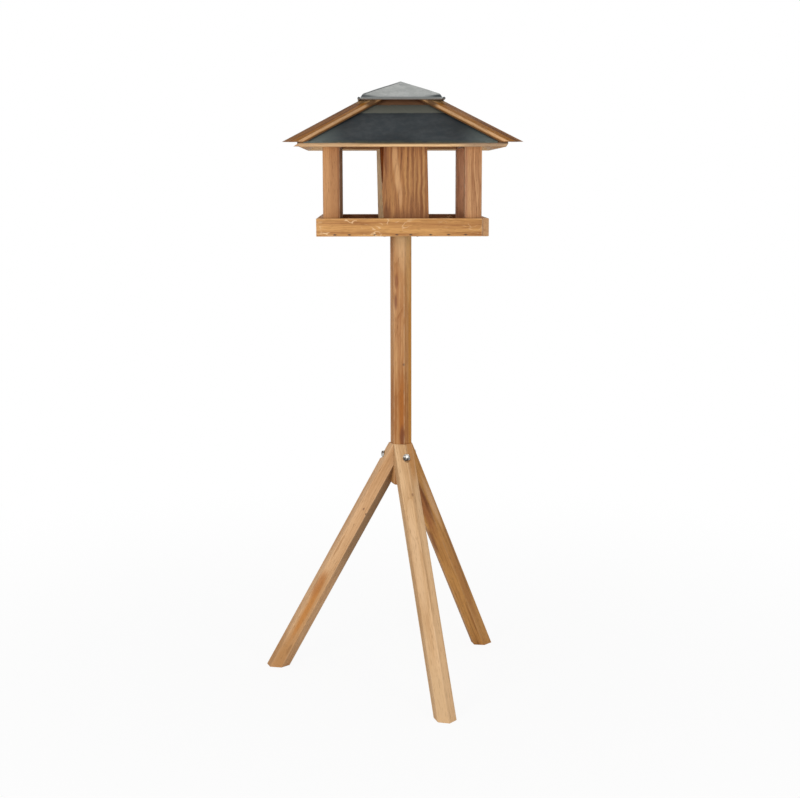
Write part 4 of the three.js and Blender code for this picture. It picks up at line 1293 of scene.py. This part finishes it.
cap_reaches = [CORNER_KINK * (row / CAP_ROWS) ** 0.9 for row in range(CAP_ROWS + 1)]
valley_width = VALLEY_REACH - CORNER_KINK
cap_reaches += [CORNER_KINK + valley_width * row / TURN_ROWS for row in range(1, TURN_ROWS + 1)]
for side in SIDES:
    rows = [cap_line(side, min(reach, CAP_TAB_HALF), reach, lambda u, r=reach: cap_height(u, r),
                     lambda u, r=reach: sheet_dirt_and_shade(u, r)) for reach in cap_reaches]
    for step in range(CURL_STEPS + 1):
        turn = CURL_FROM - CURL_TURN * step / CURL_STEPS
        height = bead_middle + BEAD_RADIUS * math.sin(turn)
        rows.append(cap_line(side, CAP_TAB_HALF, bead_reach + BEAD_RADIUS * math.cos(turn),
                             lambda u, h=height: h, lambda u, s=step: roll_dirt_and_shade(side, u, s)))
    # The roll is pinched shut at both ends.
    for end in (0, -1):
        cap_work.faces.new([line[end] for line in rows[-CURL_STEPS - 1:]])
    for one, other in zip(rows, rows[1:]):
        for i in range(CAP_COLUMNS):
            cap_work.faces.new((one[i], one[i + 1], other[i + 1], other[i]))
bmesh.ops.remove_doubles(cap_work, verts=cap_work.verts, dist=CAP_WELD)
bmesh.ops.dissolve_degenerate(cap_work, edges=cap_work.edges, dist=CAP_WELD / 10)
cap = piece_from("folded_cap", cap_work, WEATHERED_SHEET, CAP_SMOOTH_TURN)
thicken = cap.modifiers.new("sheet thickness", "SOLIDIFY")
thicken.thickness = SHEET_THICK
thicken.offset = -1
finish_piece(cap, "cap_metal", "cap_sheet")
print("cap", round(cap_reach * 2000), "mm wide")

# %% [markdown]
# ## Nails of the cap
# One nail in each slope holds the cap to the block under it. Only the domed heads show, so each is a low
# turned dome that stands square to its slope.

# %% Cap nails
NAIL_INSET = 0.020
NAIL_HEAD = 0.003
NAIL_RISE = 0.0014
NAIL_PROFILE = [(NAIL_HEAD * 0.4, -0.002), (NAIL_HEAD * 0.98, -0.0001), (NAIL_HEAD, 0.0002)]
NAIL_PROFILE += [(NAIL_HEAD * math.cos(a), NAIL_RISE * 0.85 * math.sin(a)) for a in (0.35, 0.7, 1.05, 1.35)]
cap_pitch = math.atan(MIDDLE_RISE)
for side, (_, out) in SIDES.items():
    foot = on_side(side, 0, NAIL_INSET, cap_height(0, NAIL_INSET))
    nail = turned_piece("cap_nail_head_" + side, NAIL_PROFILE, DULL_ZINC)
    stand_on(nail, foot, out * math.sin(cap_pitch) + UP * math.cos(cap_pitch))
    finish_piece(nail, "fixing_steel", "cap_nail_" + side)
print("cap nails", round(NAIL_HEAD * 2000, 1), "mm across")

# %% [markdown]
# ## Floor and light
# A plain pale floor catches the shadow of the stand. Its colour for the camera is lifted towards white
# with distance, so that it runs into the white surroundings without a line. Two wide soft lamps do the
# modelling, one from the left of the camera and a weaker one from the right, and the surroundings fill in
# the rest at a plain level. Camera and mirror rays see the surroundings as white.

# %% Floor
FLOOR_HALF = 14.0
GLOW_FROM = 0.3
GLOW_TO = 2.2
WHITE = (1, 1, 1, 1)
floor_work = bmesh.new()
floor_corners = [(-FLOOR_HALF, -FLOOR_HALF), (FLOOR_HALF, -FLOOR_HALF), (FLOOR_HALF, FLOOR_HALF),
                 (-FLOOR_HALF, FLOOR_HALF)]
floor_work.faces.new([floor_work.verts.new((x, y, 0)) for x, y in floor_corners])
ground = Finish("studio_floor")
ground.set(Base_Color=(0.82, 0.82, 0.82, 1), Roughness=0.9, Specular_IOR_Level=0.1)
glow = ground.node("ShaderNodeEmission", {"Color": WHITE, "Strength": 1.0})
near_glow = ground.between(ground.length(ground.place()), GLOW_FROM, GLOW_TO, 0.92, 1.0)
glow_share = ground.times(near_glow, ground.node("ShaderNodeLightPath", {}, "Is Camera Ray"))
blend = ground.node("ShaderNodeMixShader", {0: glow_share, 1: ground.shader.outputs[0], 2: glow})
ground.feed(ground.tree.nodes["Material Output"].inputs["Surface"], blend)
piece_from("studio_floor", floor_work, ground.material)
print("floor", FLOOR_HALF * 2, "m wide")

# %% Surroundings and lamps
AMBIENT = 0.56
LAMP_AIM = Vector((0, 0, 0.8))
LAMP_SIZE = 1.4
LAMPS = {"key_lamp": ((-1.9, -2.9, 1.1), 43), "fill_lamp": ((1.9, -3.0, 0.95), 26)}
world = bpy.data.worlds.new("studio")
bpy.context.scene.world = world
world.use_nodes = True
studio = Web(world.node_tree)
rays = studio.node("ShaderNodeLightPath", {}).node.outputs
mirrored = studio.math("MAXIMUM", rays["Is Glossy Ray"], rays["Is Transmission Ray"])
seen = studio.math("MAXIMUM", rays["Is Camera Ray"], mirrored)
level = studio.node("ShaderNodeMapRange", {"Value": seen, "To Min": AMBIENT, "To Max": 1.0})
surroundings = studio.tree.nodes["Background"].inputs
studio.feed(surroundings["Color"], WHITE)
studio.feed(surroundings["Strength"], level)
for name, (lamp_place, watts) in LAMPS.items():
    lamp = bpy.data.lights.new(name, "AREA")
    lamp.shape = "DISK"
    lamp.size = LAMP_SIZE
    lamp.energy = watts
    holder = bpy.data.objects.new(name, lamp)
    bpy.context.scene.collection.objects.link(holder)
    holder.location = lamp_place
    holder.rotation_euler = (LAMP_AIM - Vector(lamp_place)).to_track_quat("-Z", "Y").to_euler()
bpy.context.scene.view_settings.view_transform = "Standard"
print("lamps set:", ", ".join(LAMPS))
